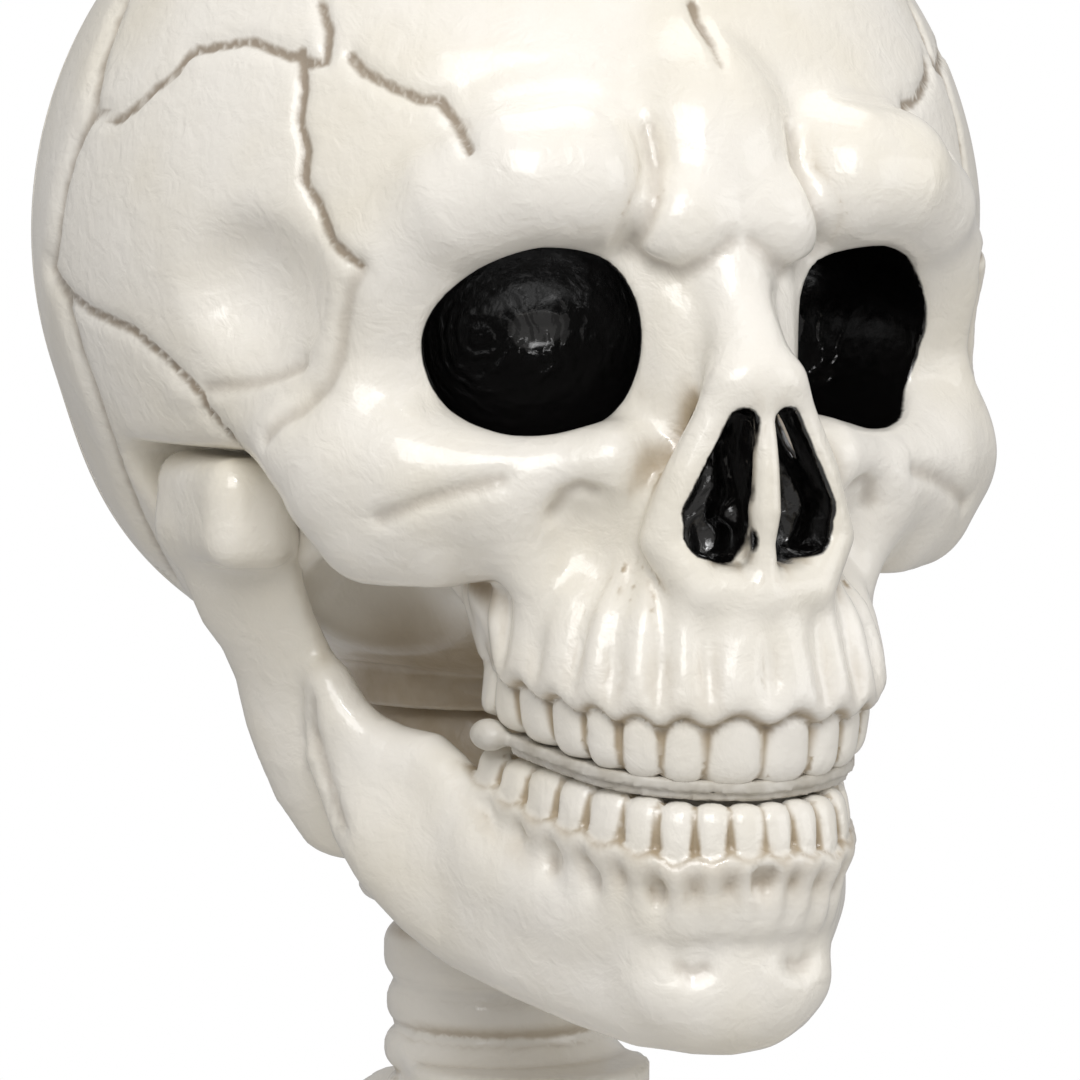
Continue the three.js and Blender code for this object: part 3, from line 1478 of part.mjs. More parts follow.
for (const [side_name, side] of [['left', 1], ['right', -1]]) {
  show(`jaw_pin_${side_name}`, hinge_pin(side), bright_steel);
  const { shoulder_yoke, ...hanging_arm } = arm(side);
  const limbs = [
    [{ shoulder_yoke }, skeleton],
    [hanging_arm, leaning_frame(side)],
    [leg(side), skeleton],
  ];
  for (const [pieces, frame] of limbs) {
    for (const [piece, solid] of Object.entries(pieces)) {
      show(`${piece}_${side_name}`, solid, piece.endsWith('bolt') ? bright_steel : ivory, frame);
    }
  }
}

skeleton.position.set(0, -loop_place_y, -hook_seat_height);
export default skeleton;
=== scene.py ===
# A posable plastic skeleton: its head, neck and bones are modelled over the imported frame.
import math

import bmesh
import bpy
import numpy as np
from mathutils import Matrix, Vector


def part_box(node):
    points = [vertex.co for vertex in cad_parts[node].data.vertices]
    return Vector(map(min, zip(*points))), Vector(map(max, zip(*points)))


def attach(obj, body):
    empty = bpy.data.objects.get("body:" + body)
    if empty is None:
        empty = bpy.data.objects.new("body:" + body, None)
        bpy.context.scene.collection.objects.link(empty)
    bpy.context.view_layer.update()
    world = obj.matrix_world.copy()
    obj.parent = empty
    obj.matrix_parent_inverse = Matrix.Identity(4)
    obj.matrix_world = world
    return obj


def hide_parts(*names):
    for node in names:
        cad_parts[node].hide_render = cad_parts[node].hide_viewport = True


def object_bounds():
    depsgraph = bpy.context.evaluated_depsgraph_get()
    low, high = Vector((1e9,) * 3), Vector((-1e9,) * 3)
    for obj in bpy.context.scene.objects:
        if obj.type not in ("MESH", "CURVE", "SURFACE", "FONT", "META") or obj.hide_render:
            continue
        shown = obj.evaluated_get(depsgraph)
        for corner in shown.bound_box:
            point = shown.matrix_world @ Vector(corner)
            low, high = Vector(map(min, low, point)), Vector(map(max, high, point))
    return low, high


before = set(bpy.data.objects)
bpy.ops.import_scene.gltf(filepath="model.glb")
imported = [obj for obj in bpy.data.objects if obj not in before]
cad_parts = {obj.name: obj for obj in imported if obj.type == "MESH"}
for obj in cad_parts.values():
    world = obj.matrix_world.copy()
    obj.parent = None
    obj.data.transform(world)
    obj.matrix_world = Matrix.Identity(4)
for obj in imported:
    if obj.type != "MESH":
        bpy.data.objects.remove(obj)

cad_low, cad_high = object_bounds()

# The head is shaped in units of its own: a hundredth of the height from its hinges to its chin.
# Its origin lies midway between the jaw's hinges, level with the tops of the knuckles.
unit = 0.085 / 100
pin_low, pin_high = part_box("jaw_pin_left")
pin_back, pin_drop = 3, 13
head_origin = np.array([
    0,
    (pin_low.y + pin_high.y) / 2 - pin_back * unit,
    (pin_low.z + pin_high.z) / 2 + pin_drop * unit,
])

# The photograph's size in pixels, and the camera that took it, in the head's units
photo_pixels = 1080
camera_turn, camera_rise, camera_roll = np.radians((-22.8, 4.7, 0.3))
camera_distance, camera_aside, camera_up = 1023, -0.1, -22.4
camera_focal_pixels = 5152
sensor_width = 36


def camera_axes():
    """The camera's right, up and back directions, from its turn, its rise and its roll."""
    back = np.array([
        math.sin(camera_turn) * math.cos(camera_rise),
        -math.cos(camera_turn) * math.cos(camera_rise),
        math.sin(camera_rise),
    ])
    right = np.cross(-back, (0, 0, 1))
    right /= np.linalg.norm(right)
    over = np.cross(right, -back)
    cosine, sine = math.cos(camera_roll), math.sin(camera_roll)
    return cosine * right + sine * over, cosine * over - sine * right, back


camera_right, camera_over, camera_back = camera_axes()
camera_place = camera_aside * camera_right + camera_up * camera_over + camera_distance * camera_back

fineness = 1.0


# A field's value where no form is near, and a shade's where nothing is drawn
far_outside, undrawn = 60.0, 9.0


# Rounded forms, each a field over arrays: negative inside, zero on its surface
class Form:
    """A field, the box that holds it, the width over which it melts, and whether it is cut out."""

    def __init__(self, distance, low, high, blend, cut=False):
        self.distance, self.blend, self.cut = distance, blend, cut
        margin = 1.5 * blend + 6
        self.low, self.high = np.array(low, float) - margin, np.array(high, float) + margin


def melted(first, second, blend):
    """The lesser of two fields, less a quarter of the squared overlap of their blend bands."""
    if blend == 0:
        return np.minimum(first, second)
    band = np.maximum(blend - np.abs(first - second), 0)
    return np.minimum(first, second) - band * band / (4 * blend)


def with_form(values, distance, form):
    """A field with a form melted in, or melted out: minus the melt of minus the field and the cut."""
    if form.cut:
        return -melted(-values, distance, form.blend)
    return melted(values, distance, form.blend)


def rounded(rounding, *past):
    """A rounded edge: the length of what lies past the faces, or the depth under the nearest, less the rounding."""
    outside = np.sqrt(sum(np.maximum(value, 0) ** 2 for value in past))
    nearest = past[0]
    for value in past[1:]:
        nearest = np.maximum(nearest, value)
    return outside + np.minimum(nearest, 0) - rounding


def egg(centre, radii, blend=8, turn=(0, 0, 0), cut=False):
    """An ellipsoid, turned about x, y and z in degrees: |p/r| (|p/r| - 1) / |p/r^2|."""
    a, b, c = np.radians(turn)
    about_x = np.array([[1, 0, 0], [0, math.cos(a), -math.sin(a)], [0, math.sin(a), math.cos(a)]])
    about_y = np.array([[math.cos(b), 0, math.sin(b)], [0, 1, 0], [-math.sin(b), 0, math.cos(b)]])
    about_z = np.array([[math.cos(c), -math.sin(c), 0], [math.sin(c), math.cos(c), 0], [0, 0, 1]])
    rows = (about_z @ about_y @ about_x).T

    def distance(x, y, z):
        x, y, z = x - centre[0], y - centre[1], z - centre[2]
        along = [row[0] * x + row[1] * y + row[2] * z for row in rows]
        near = np.sqrt(sum((value / radius) ** 2 for value, radius in zip(along, radii)))
        slope = np.sqrt(sum((value / radius ** 2) ** 2 for value, radius in zip(along, radii)))
        return near * (near - 1) / np.maximum(slope, 1e-6)

    reach = max(radii) if any(turn) else np.array(radii)
    return Form(distance, np.array(centre) - reach, np.array(centre) + reach, blend, cut)


def strand(places, radii, blend=8, tall=1):
    """A tapering rod through places: the least distance to its stretches, heights pressed by tall."""
    press = 1 / tall
    places = np.array(places, float)

    def distance(x, y, z):
        least = None
        for (ax, ay, az), (bx, by, bz), first, last in zip(places, places[1:], radii, radii[1:]):
            rx, ry, rz = bx - ax, by - ay, (bz - az) * press
            u, v, w = x - ax, y - ay, (z - az) * press
            share = np.clip((u * rx + v * ry + w * rz) / (rx * rx + ry * ry + rz * rz), 0, 1)
            away = np.sqrt((u - rx * share) ** 2 + (v - ry * share) ** 2 + (w - rz * share) ** 2)
            away = away - first - (last - first) * share
            least = away if least is None else np.minimum(least, away)
        return least

    reach = np.array((max(radii), max(radii), max(radii) * tall))
    return Form(distance, places.min(0) - reach, places.max(0) + reach, blend)


def blade(places, radii, stretch, turn, blend=8):
    """A strand whose section is stretched along a level line, turned outwards from front-to-back."""
    cosine, sine = math.cos(math.radians(turn)), math.sin(math.radians(turn))

    def pressed(x, y, z):
        return cosine * x - sine * y, (sine * x + cosine * y) / stretch, z

    inner = strand([pressed(*place) for place in places], radii, blend)
    places = np.array(places, float)
    reach = max(radii) * np.array((stretch, stretch, 1))
    low, high = places.min(0) - reach, places.max(0) + reach
    return Form(lambda x, y, z: inner.distance(*pressed(x, y, z)), low, high, blend)


def keep_side(axis, place, way, blend=1.2):
    """A cut that takes away everything past a plane, or everything before it."""
    def distance(x, y, z):
        return (place - (x, y, z)[axis]) * way
    far = (300, 300, 300)
    return Form(distance, np.negative(far), far, blend, cut=True)


def drum(place, radius, low, high, blend=2, cut=False):
    """An upright drum: the greater of its distance past the side and past the ends."""
    def distance(x, y, z):
        side = np.sqrt((x - place[0]) ** 2 + (y - place[1]) ** 2) - radius
        ends = np.abs(z - (low + high) / 2) - (high - low) / 2
        return np.maximum(side, ends)
    return Form(
        distance,
        (place[0] - radius, place[1] - radius, low),
        (place[0] + radius, place[1] + radius, high),
        blend,
        cut,
    )


def cask(centre, half, rounding, blend=3, turn=0, cut=False):
    """A block with rounded edges, turned about z: the length of what lies past its core, less the rounding."""
    cosine, sine = math.cos(math.radians(turn)), math.sin(math.radians(turn))

    def distance(x, y, z):
        x, y, z = x - centre[0], y - centre[1], z - centre[2]
        return rounded(
            rounding,
            np.abs(cosine * x + sine * y) - half[0] + rounding,
            np.abs(cosine * y - sine * x) - half[1] + rounding,
            np.abs(z) - half[2] + rounding,
        )

    reach = np.linalg.norm(half)
    return Form(distance, np.array(centre) - reach, np.array(centre) + reach, blend, cut)


def field_on_grid(forms, lines):
    """The melted field on a grid whose left half mirrors its right, each form only near its own box."""
    x, y, z = lines
    values = np.full((len(x), len(y), len(z)), far_outside, np.float32)
    for form in forms:
        spans = [
            slice(np.searchsorted(line, low), np.searchsorted(line, high) + 1)
            for line, low, high in zip(lines, form.low, form.high)
        ]
        near = form.distance(x[spans[0], None, None], y[None, spans[1], None], z[None, None, spans[2]])
        values[tuple(spans)] = with_form(values[tuple(spans)], near, form)
    return values


def right_side(places):
    """Places with their distance from the middle plane in place of x."""
    mirrored = places.copy()
    mirrored[:, 0] = np.abs(mirrored[:, 0])
    return mirrored


def field_at(forms, points):
    """The melted field at single points, which count by their distance from the head's middle plane."""
    mirrored = right_side(points)
    x, y, z = mirrored.T
    values = np.full(len(points), far_outside)
    for form in forms:
        near = np.all((mirrored > form.low) & (mirrored < form.high), axis=1)
        if near.any():
            values[near] = with_form(values[near], form.distance(x[near], y[near], z[near]), form)
    return values


def slope_at(forms, points, values, step=0.12):
    """The field's gradient, from small steps forward along each axis."""
    steps = np.eye(3) * step
    return np.stack([(field_at(forms, points + move) - values) / step for move in steps], 1)


def skin(values, lines):
    """The surface of a field as points and four-sided faces: one point in each grid cell it crosses."""
    inside = values < 0
    corners = [(i, j, k) for i in (0, 1) for j in (0, 1) for k in (0, 1)]
    size = [count - 1 for count in values.shape]
    blocks = [inside[i:i + size[0], j:j + size[1], k:k + size[2]] for i, j, k in corners]
    filled = sum(block.astype(np.int8) for block in blocks)
    cells = np.argwhere((filled > 0) & (filled < 8))
    corner_values = np.stack(
        [values[cells[:, 0] + i, cells[:, 1] + j, cells[:, 2] + k] for i, j, k in corners], 1
    )
    total, count = np.zeros((len(cells), 3)), np.zeros(len(cells))
    for first, start in enumerate(corners):
        for axis in range(3):
            if start[axis] == 1:
                continue
            last = first + (4, 2, 1)[axis]
            a, b = corner_values[:, first], corner_values[:, last]
            crossed = (a < 0) != (b < 0)
            place = np.tile(np.array(start, float), (len(cells), 1))
            place[:, axis] = a / np.where(crossed, a - b, 1)
            total[crossed] += place[crossed]
            count += crossed
    share = total / count[:, None]
    points = np.stack([
        line[cells[:, axis]] + share[:, axis] * (line[cells[:, axis] + 1] - line[cells[:, axis]])
        for axis, line in enumerate(lines)
    ], 1)
    number = np.full(size, -1, np.int32)
    number[tuple(cells.T)] = np.arange(len(cells))
    faces = []
    for axis in range(3):
        low = [slice(1, count - 1) for count in values.shape]
        high = list(low)
        high[axis] = slice(2, values.shape[axis])
        change = inside[tuple(low)] != inside[tuple(high)]
        edges = np.argwhere(change) + 1
        one, two = [(1, 2), (2, 0), (0, 1)][axis]
        ring = []
        for back, down in ((0, 0), (1, 0), (1, 1), (0, 1)):
            cell = edges.copy()
            cell[:, one] -= back
            cell[:, two] -= down
            ring.append(number[tuple(cell.T)])
        ring = np.stack(ring, 1)
        starts_inside = inside[tuple(edges.T)]
        ring[~starts_inside] = ring[~starts_inside][:, ::-1]
        faces.append(ring)
    faces = np.concatenate(faces)
    return points, faces[(faces >= 0).all(1)]


def settled(forms, points, rounds=2, most=0.8):
    """Points moved onto the field's surface: each goes back along the slope by the value over its slope."""
    for _ in range(rounds):
        values = field_at(forms, points)
        slope = slope_at(forms, points, values)
        steepness = np.maximum((slope ** 2).sum(1), 0.05)
        move = slope * (values / steepness)[:, None]
        length = np.linalg.norm(move, axis=1)
        points = points - move * np.minimum(1, most / np.maximum(length, 1e-9))[:, None]
    return points


def grid_line(low, high, fine_low, fine_high, fine, wide):
    """Places from low to high, a fine step apart in the fine stretch and a wide one outside it."""
    places = [low]
    while places[-1] < high:
        inside = fine_low < places[-1] < fine_high
        places.append(places[-1] + (fine if inside else wide) * fineness)
    return np.array(places, np.float32)


def even_line(low, high, step):
    """Places from low to high, all one step apart."""
    return grid_line(low, high, 0, 0, step, step)


def side_line(high, fine_high, fine, wide):
    """Places outward from half a step beside the middle plane, so that the mirror image fits on."""
    return grid_line(fine * fineness / 2, high, 0, fine_high, fine, wide)


def mirrored_skin(forms, half_line, y_line, z_line):
    """A skin with both sides alike: the half grid is worked out once and set beside its mirror image."""
    half = field_on_grid(forms, (half_line, y_line, z_line))
    values = np.concatenate((half[::-1], half))
    lines = (np.concatenate((-half_line[::-1], half_line)), y_line, z_line)
    return skin(values, lines)


# The mouth's arches, seen from above and walked in tooth widths from the middle
def arch_curve(places, spacing=1.6):
    """Places mirrored and smoothed by cutting every corner at its quarters three times, evenly spaced."""
    half = np.array(places, float)
    whole = np.concatenate((half[:0:-1] * (-1, 1), half))
    for _ in range(3):
        first, last = whole[:-1], whole[1:]
        quarters = np.stack((first * 0.75 + last * 0.25, first * 0.25 + last * 0.75), 1).reshape(-1, 2)
        whole = np.concatenate((whole[:1], quarters, whole[-1:]))
    side = whole[whole[:, 0] > 0.05]
    side = np.concatenate((side[:1] * (0, 1), side))
    walked = np.concatenate(((0,), np.cumsum(np.hypot(*np.diff(side, axis=0).T))))
    even = np.linspace(0, walked[-1], int(walked[-1] / spacing))
    return np.stack((np.interp(even, walked, side[:, 0]), np.interp(even, walked, side[:, 1])), 1)


def along_arch(curve, x, y):
    """How far along an arch its nearest place is, and how far outside the arch a point lies."""
    least, place, outside, walked = None, None, None, 0
    for start, run in zip(curve, np.diff(curve, axis=0)):
        length = math.hypot(*run)
        u, v = x - start[0], y - start[1]
        share = np.clip((u * run[0] + v * run[1]) / length ** 2, 0, 1)
        away = np.sqrt((u - run[0] * share) ** 2 + (v - run[1] * share) ** 2)
        sign = np.sign(run[1] * u - run[0] * v)
        if least is None:
            least, place, outside = away, length * share, sign * away
        else:
            nearer = away < least
            place = np.where(nearer, walked + length * share, place)
            outside = np.where(nearer, sign * away, outside)
            least = np.minimum(least, away)
        walked += length
    return place, outside


class ToothRow:
    """Teeth side by side along an arch: their widths, and the heights of their necks and edges."""

    def __init__(self, curve, widths, necks, edges, depths, neck_shares):
        self.curve, self.widths = curve, np.array(widths)
        self.ends = np.cumsum(self.widths)
        self.middles = self.ends - self.widths / 2
        self.necks, self.edges = np.array(necks), np.array(edges)
        self.depths, self.neck_shares = np.array(depths), np.array(neck_shares)

    def number(self, place):
        """Which tooth a place along the arch belongs to."""
        return np.clip(np.searchsorted(self.ends, place), 0, len(self.ends) - 1)

    def across(self, place):
        """How far a place is from its tooth's middle, as a share of the tooth's half width."""
        number = self.number(place)
        return (place - self.middles[number]) / (self.widths[number] / 2)

    def reach(self):
        """The lowest and highest corner of the row."""
        low, high = self.curve.min(0), self.curve.max(0)
        heights = np.concatenate((self.necks, self.edges))
        return (low[0], low[1] - 3, heights.min() - 4), (high[0] + 3, high[1] + 8, heights.max() + 4)

    def crowns(self, blend=0.6, square=2.6, edge_width=1.12, point=3, inset=0.2, wall_depth=4):
        """Pillows: (|u/w|^s + |v/d|^2.2 + |t|^p)^0.34 - 1, w easing from edge to neck, before a wall."""
        def distance(x, y, z):
            place, outside = along_arch(self.curve, x, y)
            number, across = self.number(place), np.abs(self.across(place))
            neck, edge, depth = self.necks[number], self.edges[number], self.depths[number]
            rise = (z - (neck + edge) / 2) / ((edge - neck) / 2)
            eased = np.clip(rise, -1, 1)
            share = self.neck_shares[number]
            width = edge_width * (1 - (1 - share) * ((1 - eased) / 2) ** 2.2)
            lean = (outside + inset + depth * (1 - 0.04 * (1 - eased) ** 2)) / (depth * (1 - 0.12 * eased))
            power = np.where(rise > 0, 3.6, point)
            whole = (across / width) ** square + np.abs(lean) ** 2.2 + np.abs(rise) ** power
            crown = (np.maximum(whole, 1e-9) ** 0.34 - 1) * depth * 0.8
            wall = np.maximum(np.abs(outside + inset + wall_depth + 1) - 2, (np.abs(rise) - 0.86) * 6)
            past = np.maximum(place - self.ends[-1], 0)
            return np.minimum(crown, wall) + past
        low, high = self.reach()
        return Form(distance, low, high, blend)

    def gum(self, lip, front, thickness, rounding, far, waves, folds, fold_reach, slope, lean=0, blend=4, dip=0):
        """A band along the arch: a rounded slab, its lip waved at each tooth, its front folded and dipped."""
        way = np.sign(self.necks[0] - self.edges[0])

        def distance(x, y, z):
            place, outside = along_arch(self.curve, x, y)
            number, across = self.number(place), np.abs(self.across(place))
            wave = waves * (1 + np.cos(math.pi * np.minimum(across, 1))) / 2
            lip_height = np.interp(place, self.middles, self.necks) + way * (lip + wave)
            from_fold = (1 - across) * self.widths[number] / 2
            fade = np.clip(1 - (z - lip_height) * way / fold_reach, 0, 1)
            from_lip = np.maximum((z - lip_height) * way, 0)
            roll = np.exp(-(from_lip / (4 + rounding)) ** 2)
            fold = folds * np.exp(-(from_fold / 2.1) ** 2) * np.sqrt(fade) * (1 - 0.8 * roll) - 0.7 * roll
            lean_back = lean * from_lip + slope * np.maximum(from_lip - 4, 0) ** 2
            lean_back = lean_back + dip * np.exp(-((from_lip - 6.5) / 2.6) ** 2) * (0.35 + 0.65 * across ** 2)
            middle = front - thickness / 2 - fold - lean_back
            across_slab = np.abs(outside - middle) - thickness / 2 + rounding
            up_slab = np.maximum((lip_height - z) * way, (z - far) * way) + rounding
            return rounded(rounding, across_slab, up_slab) + np.maximum(place - self.curve_length() + 4, 0)
        low, high = self.reach()
        low, high = (low[0], low[1] - 4, min(low[2], far)), (high[0] + 4, high[1], max(high[2], far))
        return Form(distance, low, high, blend)

    def curve_length(self):
        """The whole length of one side of the arch."""
        return np.hypot(*np.diff(self.curve, axis=0).T).sum()


upper_row = ToothRow(
    arch_curve([
        (0, -106.3), (5.5, -105.5), (14.5, -102.9), (21.7, -98.6), (27.5, -92.6), (31.1, -84.3),
        (33.7, -73.5), (35.4, -64.3), (36.3, -54.2), (36.6, -44),
    ]),
    (11.2, 8.2, 8.2, 7.9, 9.6, 10.6, 9.4, 10),
    (-44.2, -44.6, -44.3, -43.1, -41.9, -40.4, -39.3, -37.8),
    (-59.1, -58.6, -57.8, -56.6, -55.3, -53.9, -52.5, -50.3),
    (4.6, 4.2, 4.6, 4.8, 5, 5.4, 5.4, 5),
    (0.8, 0.82, 0.84, 0.86, 0.88, 0.9, 0.9, 0.92),
)
lower_row = ToothRow(
    arch_curve([
        (0, -106.4), (3.3, -106.1), (9.7, -104.5), (16.3, -101.4), (21.9, -96), (26, -87.3),
        (29, -79.3), (31.4, -69), (32.9, -59), (33.5, -49), (33.6, -40),
    ]),
    (6.6, 6.6, 7.3, 7.6, 8.8, 8.6, 10, 9.8, 10),
    (-73.2, -73.4, -74.3, -72.6, -71.4, -70, -69, -66.8, -64.6),
    (-62.3, -62.2, -62, -61.2, -60.3, -59.2, -58.2, -57.8, -56.6),
    (3.6, 3.6, 4, 4.2, 4.6, 4.8, 5, 5, 5),
    (0.7, 0.7, 0.7, 0.74, 0.76, 0.78, 0.8, 0.8, 0.82),
)


# The skull, front to back. The right half is worked out, and the left half mirrors it.
seam_place, seam_gap = 50, 0.3
neck_back, neck_drum_radius = 20, 37.6
swivel_height, swivel_radius, swivel_clearance = -68.3, 31, 1.5


def brain_case():
    """The brain case: an egg, and a lower bulge behind."""
    return [egg((0, 20.3, 38), (93.5, 105.2, 91.3), 0), egg((0, 43.7, 0), (76.4, 63.4, 53.6), 10)]


def face():
    """Brow, sockets' rims, nose, cheekbones and upper jaw."""
    return [
        egg((0, -60, -14), (33, 38, 28), 8),
        egg((8.2, -79.5, 16), (8, 12, 27), 7),
        strand(((28, -79.5, 52), (37, -77.5, 51), (47, -71, 45.5), (56, -60, 34)), (12.6, 12.4, 10.8, 9), 9),
        strand(((27, -84, 48), (36, -82, 48.5), (46, -75, 44)), (8.6, 9, 8), 5),
        egg((0, -77.5, 52), (17.5, 15, 27), 3.5, (-16, 0, 0)),
        egg((8.5, -87, 42.5), (10, 8, 9.5), 4),
        strand(((55.5, -58.5, 34), (57.5, -53, 18), (56.5, -54, 0)), (8.8, 10, 11.6), 7),
        strand(((22, -85, -1), (37, -75, -4), (52, -64, -1)), (7, 7, 8), 7),
        strand(((0, -85.5, 38), (0, -92, 27), (0, -98.5, 14)), (5.6, 6.4, 8.2), 6),
        strand(
            ((63.5, -45, 1.5), (59.5, -50, -6.5), (55, -52.5, -13), (46, -58.5, -15.5), (40, -62, -15.5)),
            (10.2, 12, 12.2, 11, 9),
            6,
        ),
        strand(((59, -53, -2), (50, -62, -6), (38, -72, -7)), (11.4, 11.8, 9), 8),
        strand(((77, 3, 4.5), (74, -12, 6.5), (70, -30, 5.5), (66, -44, 2)), (5, 6, 6.6, 9), 5),
        strand(((80, -17, 9.5), (76, -26, 11), (70.5, -37, 12), (64, -48, 13)), (2.4, 4, 4.6, 6), 3),
        strand(
            ((5.4, -101, 13.5), (12.5, -98.8, -3), (16.3, -97, -14.5), (11, -100, -23.5), (0, -102.5, -24.5)),
            (3.6, 4.6, 4.8, 5, 5),
            5,
        ),
        strand(
            ((0, -103.2, 12), (0, -105, -2), (0, -104.6, -9), (0, -104.4, -15), (0, -103.6, -23)),
            (2, 2.3, 2.9, 1.9, 3),
            2,
        ),
        egg((0, -93, -8), (2.4, 13.5, 22), 2),
        strand(((34.6, -72, -13), (27.6, -76.5, -30)), (7.2, 6.4), 7),
        strand(((0, -98, -33), (17, -91, -33), (25.4, -74, -33), (27, -58, -33)), (8, 7.6, 6.6, 6), 6),
        upper_row.gum(-3.6, 2.8, 12, 3.4, -16, 2, 2.4, 26, 0.02),
        upper_row.crowns(square=3, edge_width=1.16),
    ]


def socket_form(grow=0, cut=True):
    """The hollow of an eye, an egg that faces forward and a little outward."""
    radii = (20.9 + grow, 27 + grow, 19.9 + grow)
    whole = egg((29, -66, 21.4), radii, 2.2, (0, 8, 24), cut=cut)

    def distance(x, y, z):
        under_brow = (x - 47.5) * 0.68 + (z - 31.5) * 0.73 - grow
        return -melted(-whole.distance(x, y, z), -under_brow, 6)

    return Form(distance, whole.low, whole.high, 2.2, cut)


def nose_form(grow=0, cut=True, floor=90):
    """The hole of the nose: a drop that widens downward to a hooked foot, with a floor behind."""
    stretches = [
        strand(((4.4, 0, 6.8), (9.7, 0, -9.5)), (2.2, 4.9)),
        strand(((5.2, 0, 4.5), (6.8, 0, -6)), (1.9, 3.5)),
        strand(((9.4, 0, -12.6), (6, 0, -14.6)), (4.8, 3.5)),
    ]

    def distance(x, y, z):
        least = np.minimum.reduce([stretch.distance(x, 0, z) for stretch in stretches])
        ridge = 1.8 * np.exp(-((x - 7 + 0.3 * z) / 2.6) ** 2)
        rough = ridge + 1.4 * np.exp(-((x - 6) / 2) ** 2 - ((z + 14) / 3) ** 2)
        return np.maximum(least - grow, y + floor - rough - grow)

    return Form(distance, (1, -116, -22), (18, 2 - floor, 11), 1.4, cut)


def nose_walls():
    """The nose's hole a little wider and behind its rim, for the paint: the greater of the two distances."""
    wide, rim_place = nose_form(1.3, False, 78), -94

    def distance(x, y, z):
        return np.maximum(wide.distance(x, y, z), rim_place - y)

    return Form(distance, wide.low, wide.high, 0)


def face_hollows():
    """Temple, the hollow under the cheekbone, the hollow above the canine, and the knuckle's room."""
    return [
        egg((84.6, -46.5, 28.5), (18, 20, 17.5), 4.5, cut=True),
        egg((47, -32, -43), (17, 28, 24), 4, cut=True),
        egg((28, -90, -16), (5, 6, 7), 6, cut=True),
        egg((46, -52, -40), (12, 20, 16), 3, cut=True),
        cask((77.6, -10, -17.2), (18, 24.4, 15.6), 7, 3, cut=True),
    ]


skull_forms = [
    *brain_case(), *face(), *face_hollows(), socket_form(), nose_form(),
    drum((0, neck_back), neck_drum_radius, -44.5, -20, 1.5),
    drum((0, neck_back), neck_drum_radius + 1, -46, -44, 0.5),
    drum((0, neck_back), neck_drum_radius - 3, -55, -46.6, 1.2),
    egg((0, neck_back, swivel_height), (swivel_radius + swivel_clearance,) * 3, 1, cut=True),
]
front_forms = [*skull_forms, keep_side(1, seam_place - seam_gap, 1)]
back_forms = [
    *brain_case(),
    keep_side(1, seam_place + seam_gap, -1),
    drum((0, neck_back), neck_drum_radius + 1, -80, -20, 1, cut=True),
]
paint_forms = [
    socket_form(0.3, cut=False),
    nose_form(0.3, False, 78),
    nose_walls(),
    egg((0, -93.5, -3.5), (4.4, 11.2, 13.5), 0),
]


def jaw_forms():
    """The lower jaw: knuckle and wide blade behind, then the body that laps over it, and the chin."""
    return [
        cask((69.4, -9, -13.8), (8.8, 19.4, 10.6), 6, 0),
        blade(
            (
                (66.5, -7, -18), (64.5, -6, -28.1), (61.5, -5, -35), (58.2, -5.5, -40.6), (55, -5.3, -46.9),
                (53, -5.1, -51.9), (51.3, -5.9, -56.7), (49.5, -7.3, -62.9), (47, -8, -70.2), (44, -10, -77.4),
            ),
            (6.6, 6.3, 6.1, 5.7, 5.8, 6.2, 6.6, 6.5, 6.2, 5.4),
            2.3,
            28,
            5,
        ),
        strand(
            (
                (51.6, -17.6, -54), (49.7, -18.8, -60.5), (45.8, -25.2, -72.4), (42, -31.4, -80.3),
                (37, -36.9, -86.7), (31, -41.8, -92.1), (25, -55.7, -95.6), (18.4, -69.5, -99),
                (12.6, -82, -101), (5.4, -88.2, -101.3), (0, -89.4, -101.5),
            ),
            (4.4, 6.4, 7.6, 8, 8.4, 8.6, 8.6, 8.6, 8.6, 8.8, 8.8),
            2.4,
        ),
        strand(
            (
                (52.4, -20.5, -48), (50, -23, -53.5), (46.5, -25.5, -58), (42, -30, -60.5), (37.8, -36.4, -60.4),
                (36, -41, -62.6), (34.6, -44.5, -66.6), (32, -53, -73),
            ),
            (4.4, 5, 5.4, 5.2, 4.8, 4.4, 4, 3.6),
            5,
        ),
        strand(
            ((43, -30, -71), (37, -42, -78), (29.5, -58, -83), (22.6, -73, -85), (14.8, -85, -86), (0, -91, -87)),
            (6.6, 7.2, 7.6, 7.6, 7.6, 8),
            8,
            1.6,
        ),
        strand(
            ((0, -92.4, -84.5), (11.8, -89.4, -84.5), (18.6, -79.6, -83.6), (25.4, -68, -81.5), (31.5, -54, -76.5)),
            (7.4, 7.2, 7, 6.6, 5.6),
            7,
        ),
        egg((0, -92, -97), (18.8, 8, 9), 7),
        lower_row.gum(-2.6, 1.2, 9, 2.8, -88, 1, 1.2, 14, 0.016, 0.16, 3, 1.5),
        lower_row.crowns(square=3.4, edge_width=1.15, point=2.8, wall_depth=3),
    ]


jaw_parts = jaw_forms()


# Grooves drawn over the head, as places in the photograph, each with its half width and its depth
suture_lines = [
    [(300, 50), (303, 90), (298, 120), (306, 150), (303, 180), (318, 205), (330, 240), (355, 265)],
    [(350, 55), (362, 70), (380, 80), (392, 86), (400, 90), (420, 98), (440, 100), (456, 122), (468, 150)],
    [(90, 115), (102, 112), (115, 120), (132, 108), (150, 90), (172, 74), (190, 50), (222, 44), (250, 40)],
    [(250, 40), (276, 50), (300, 58), (312, 62), (325, 60), (328, 30), (320, 2)],
    [(62, 290), (90, 312), (130, 330), (160, 356), (190, 385), (205, 410), (240, 450)],
]
forehead_crack = [(697, 2), (693, 30), (690, 62), (685, 95), (683, 120)]
moulded_seam = [
    (120, 2), (98, 59), (88, 110), (70, 151), (59, 192), (52, 247), (47, 268), (61, 297), (75, 347), (93, 398),
    (116, 466), (134, 512), (150, 545), (172, 585),
]
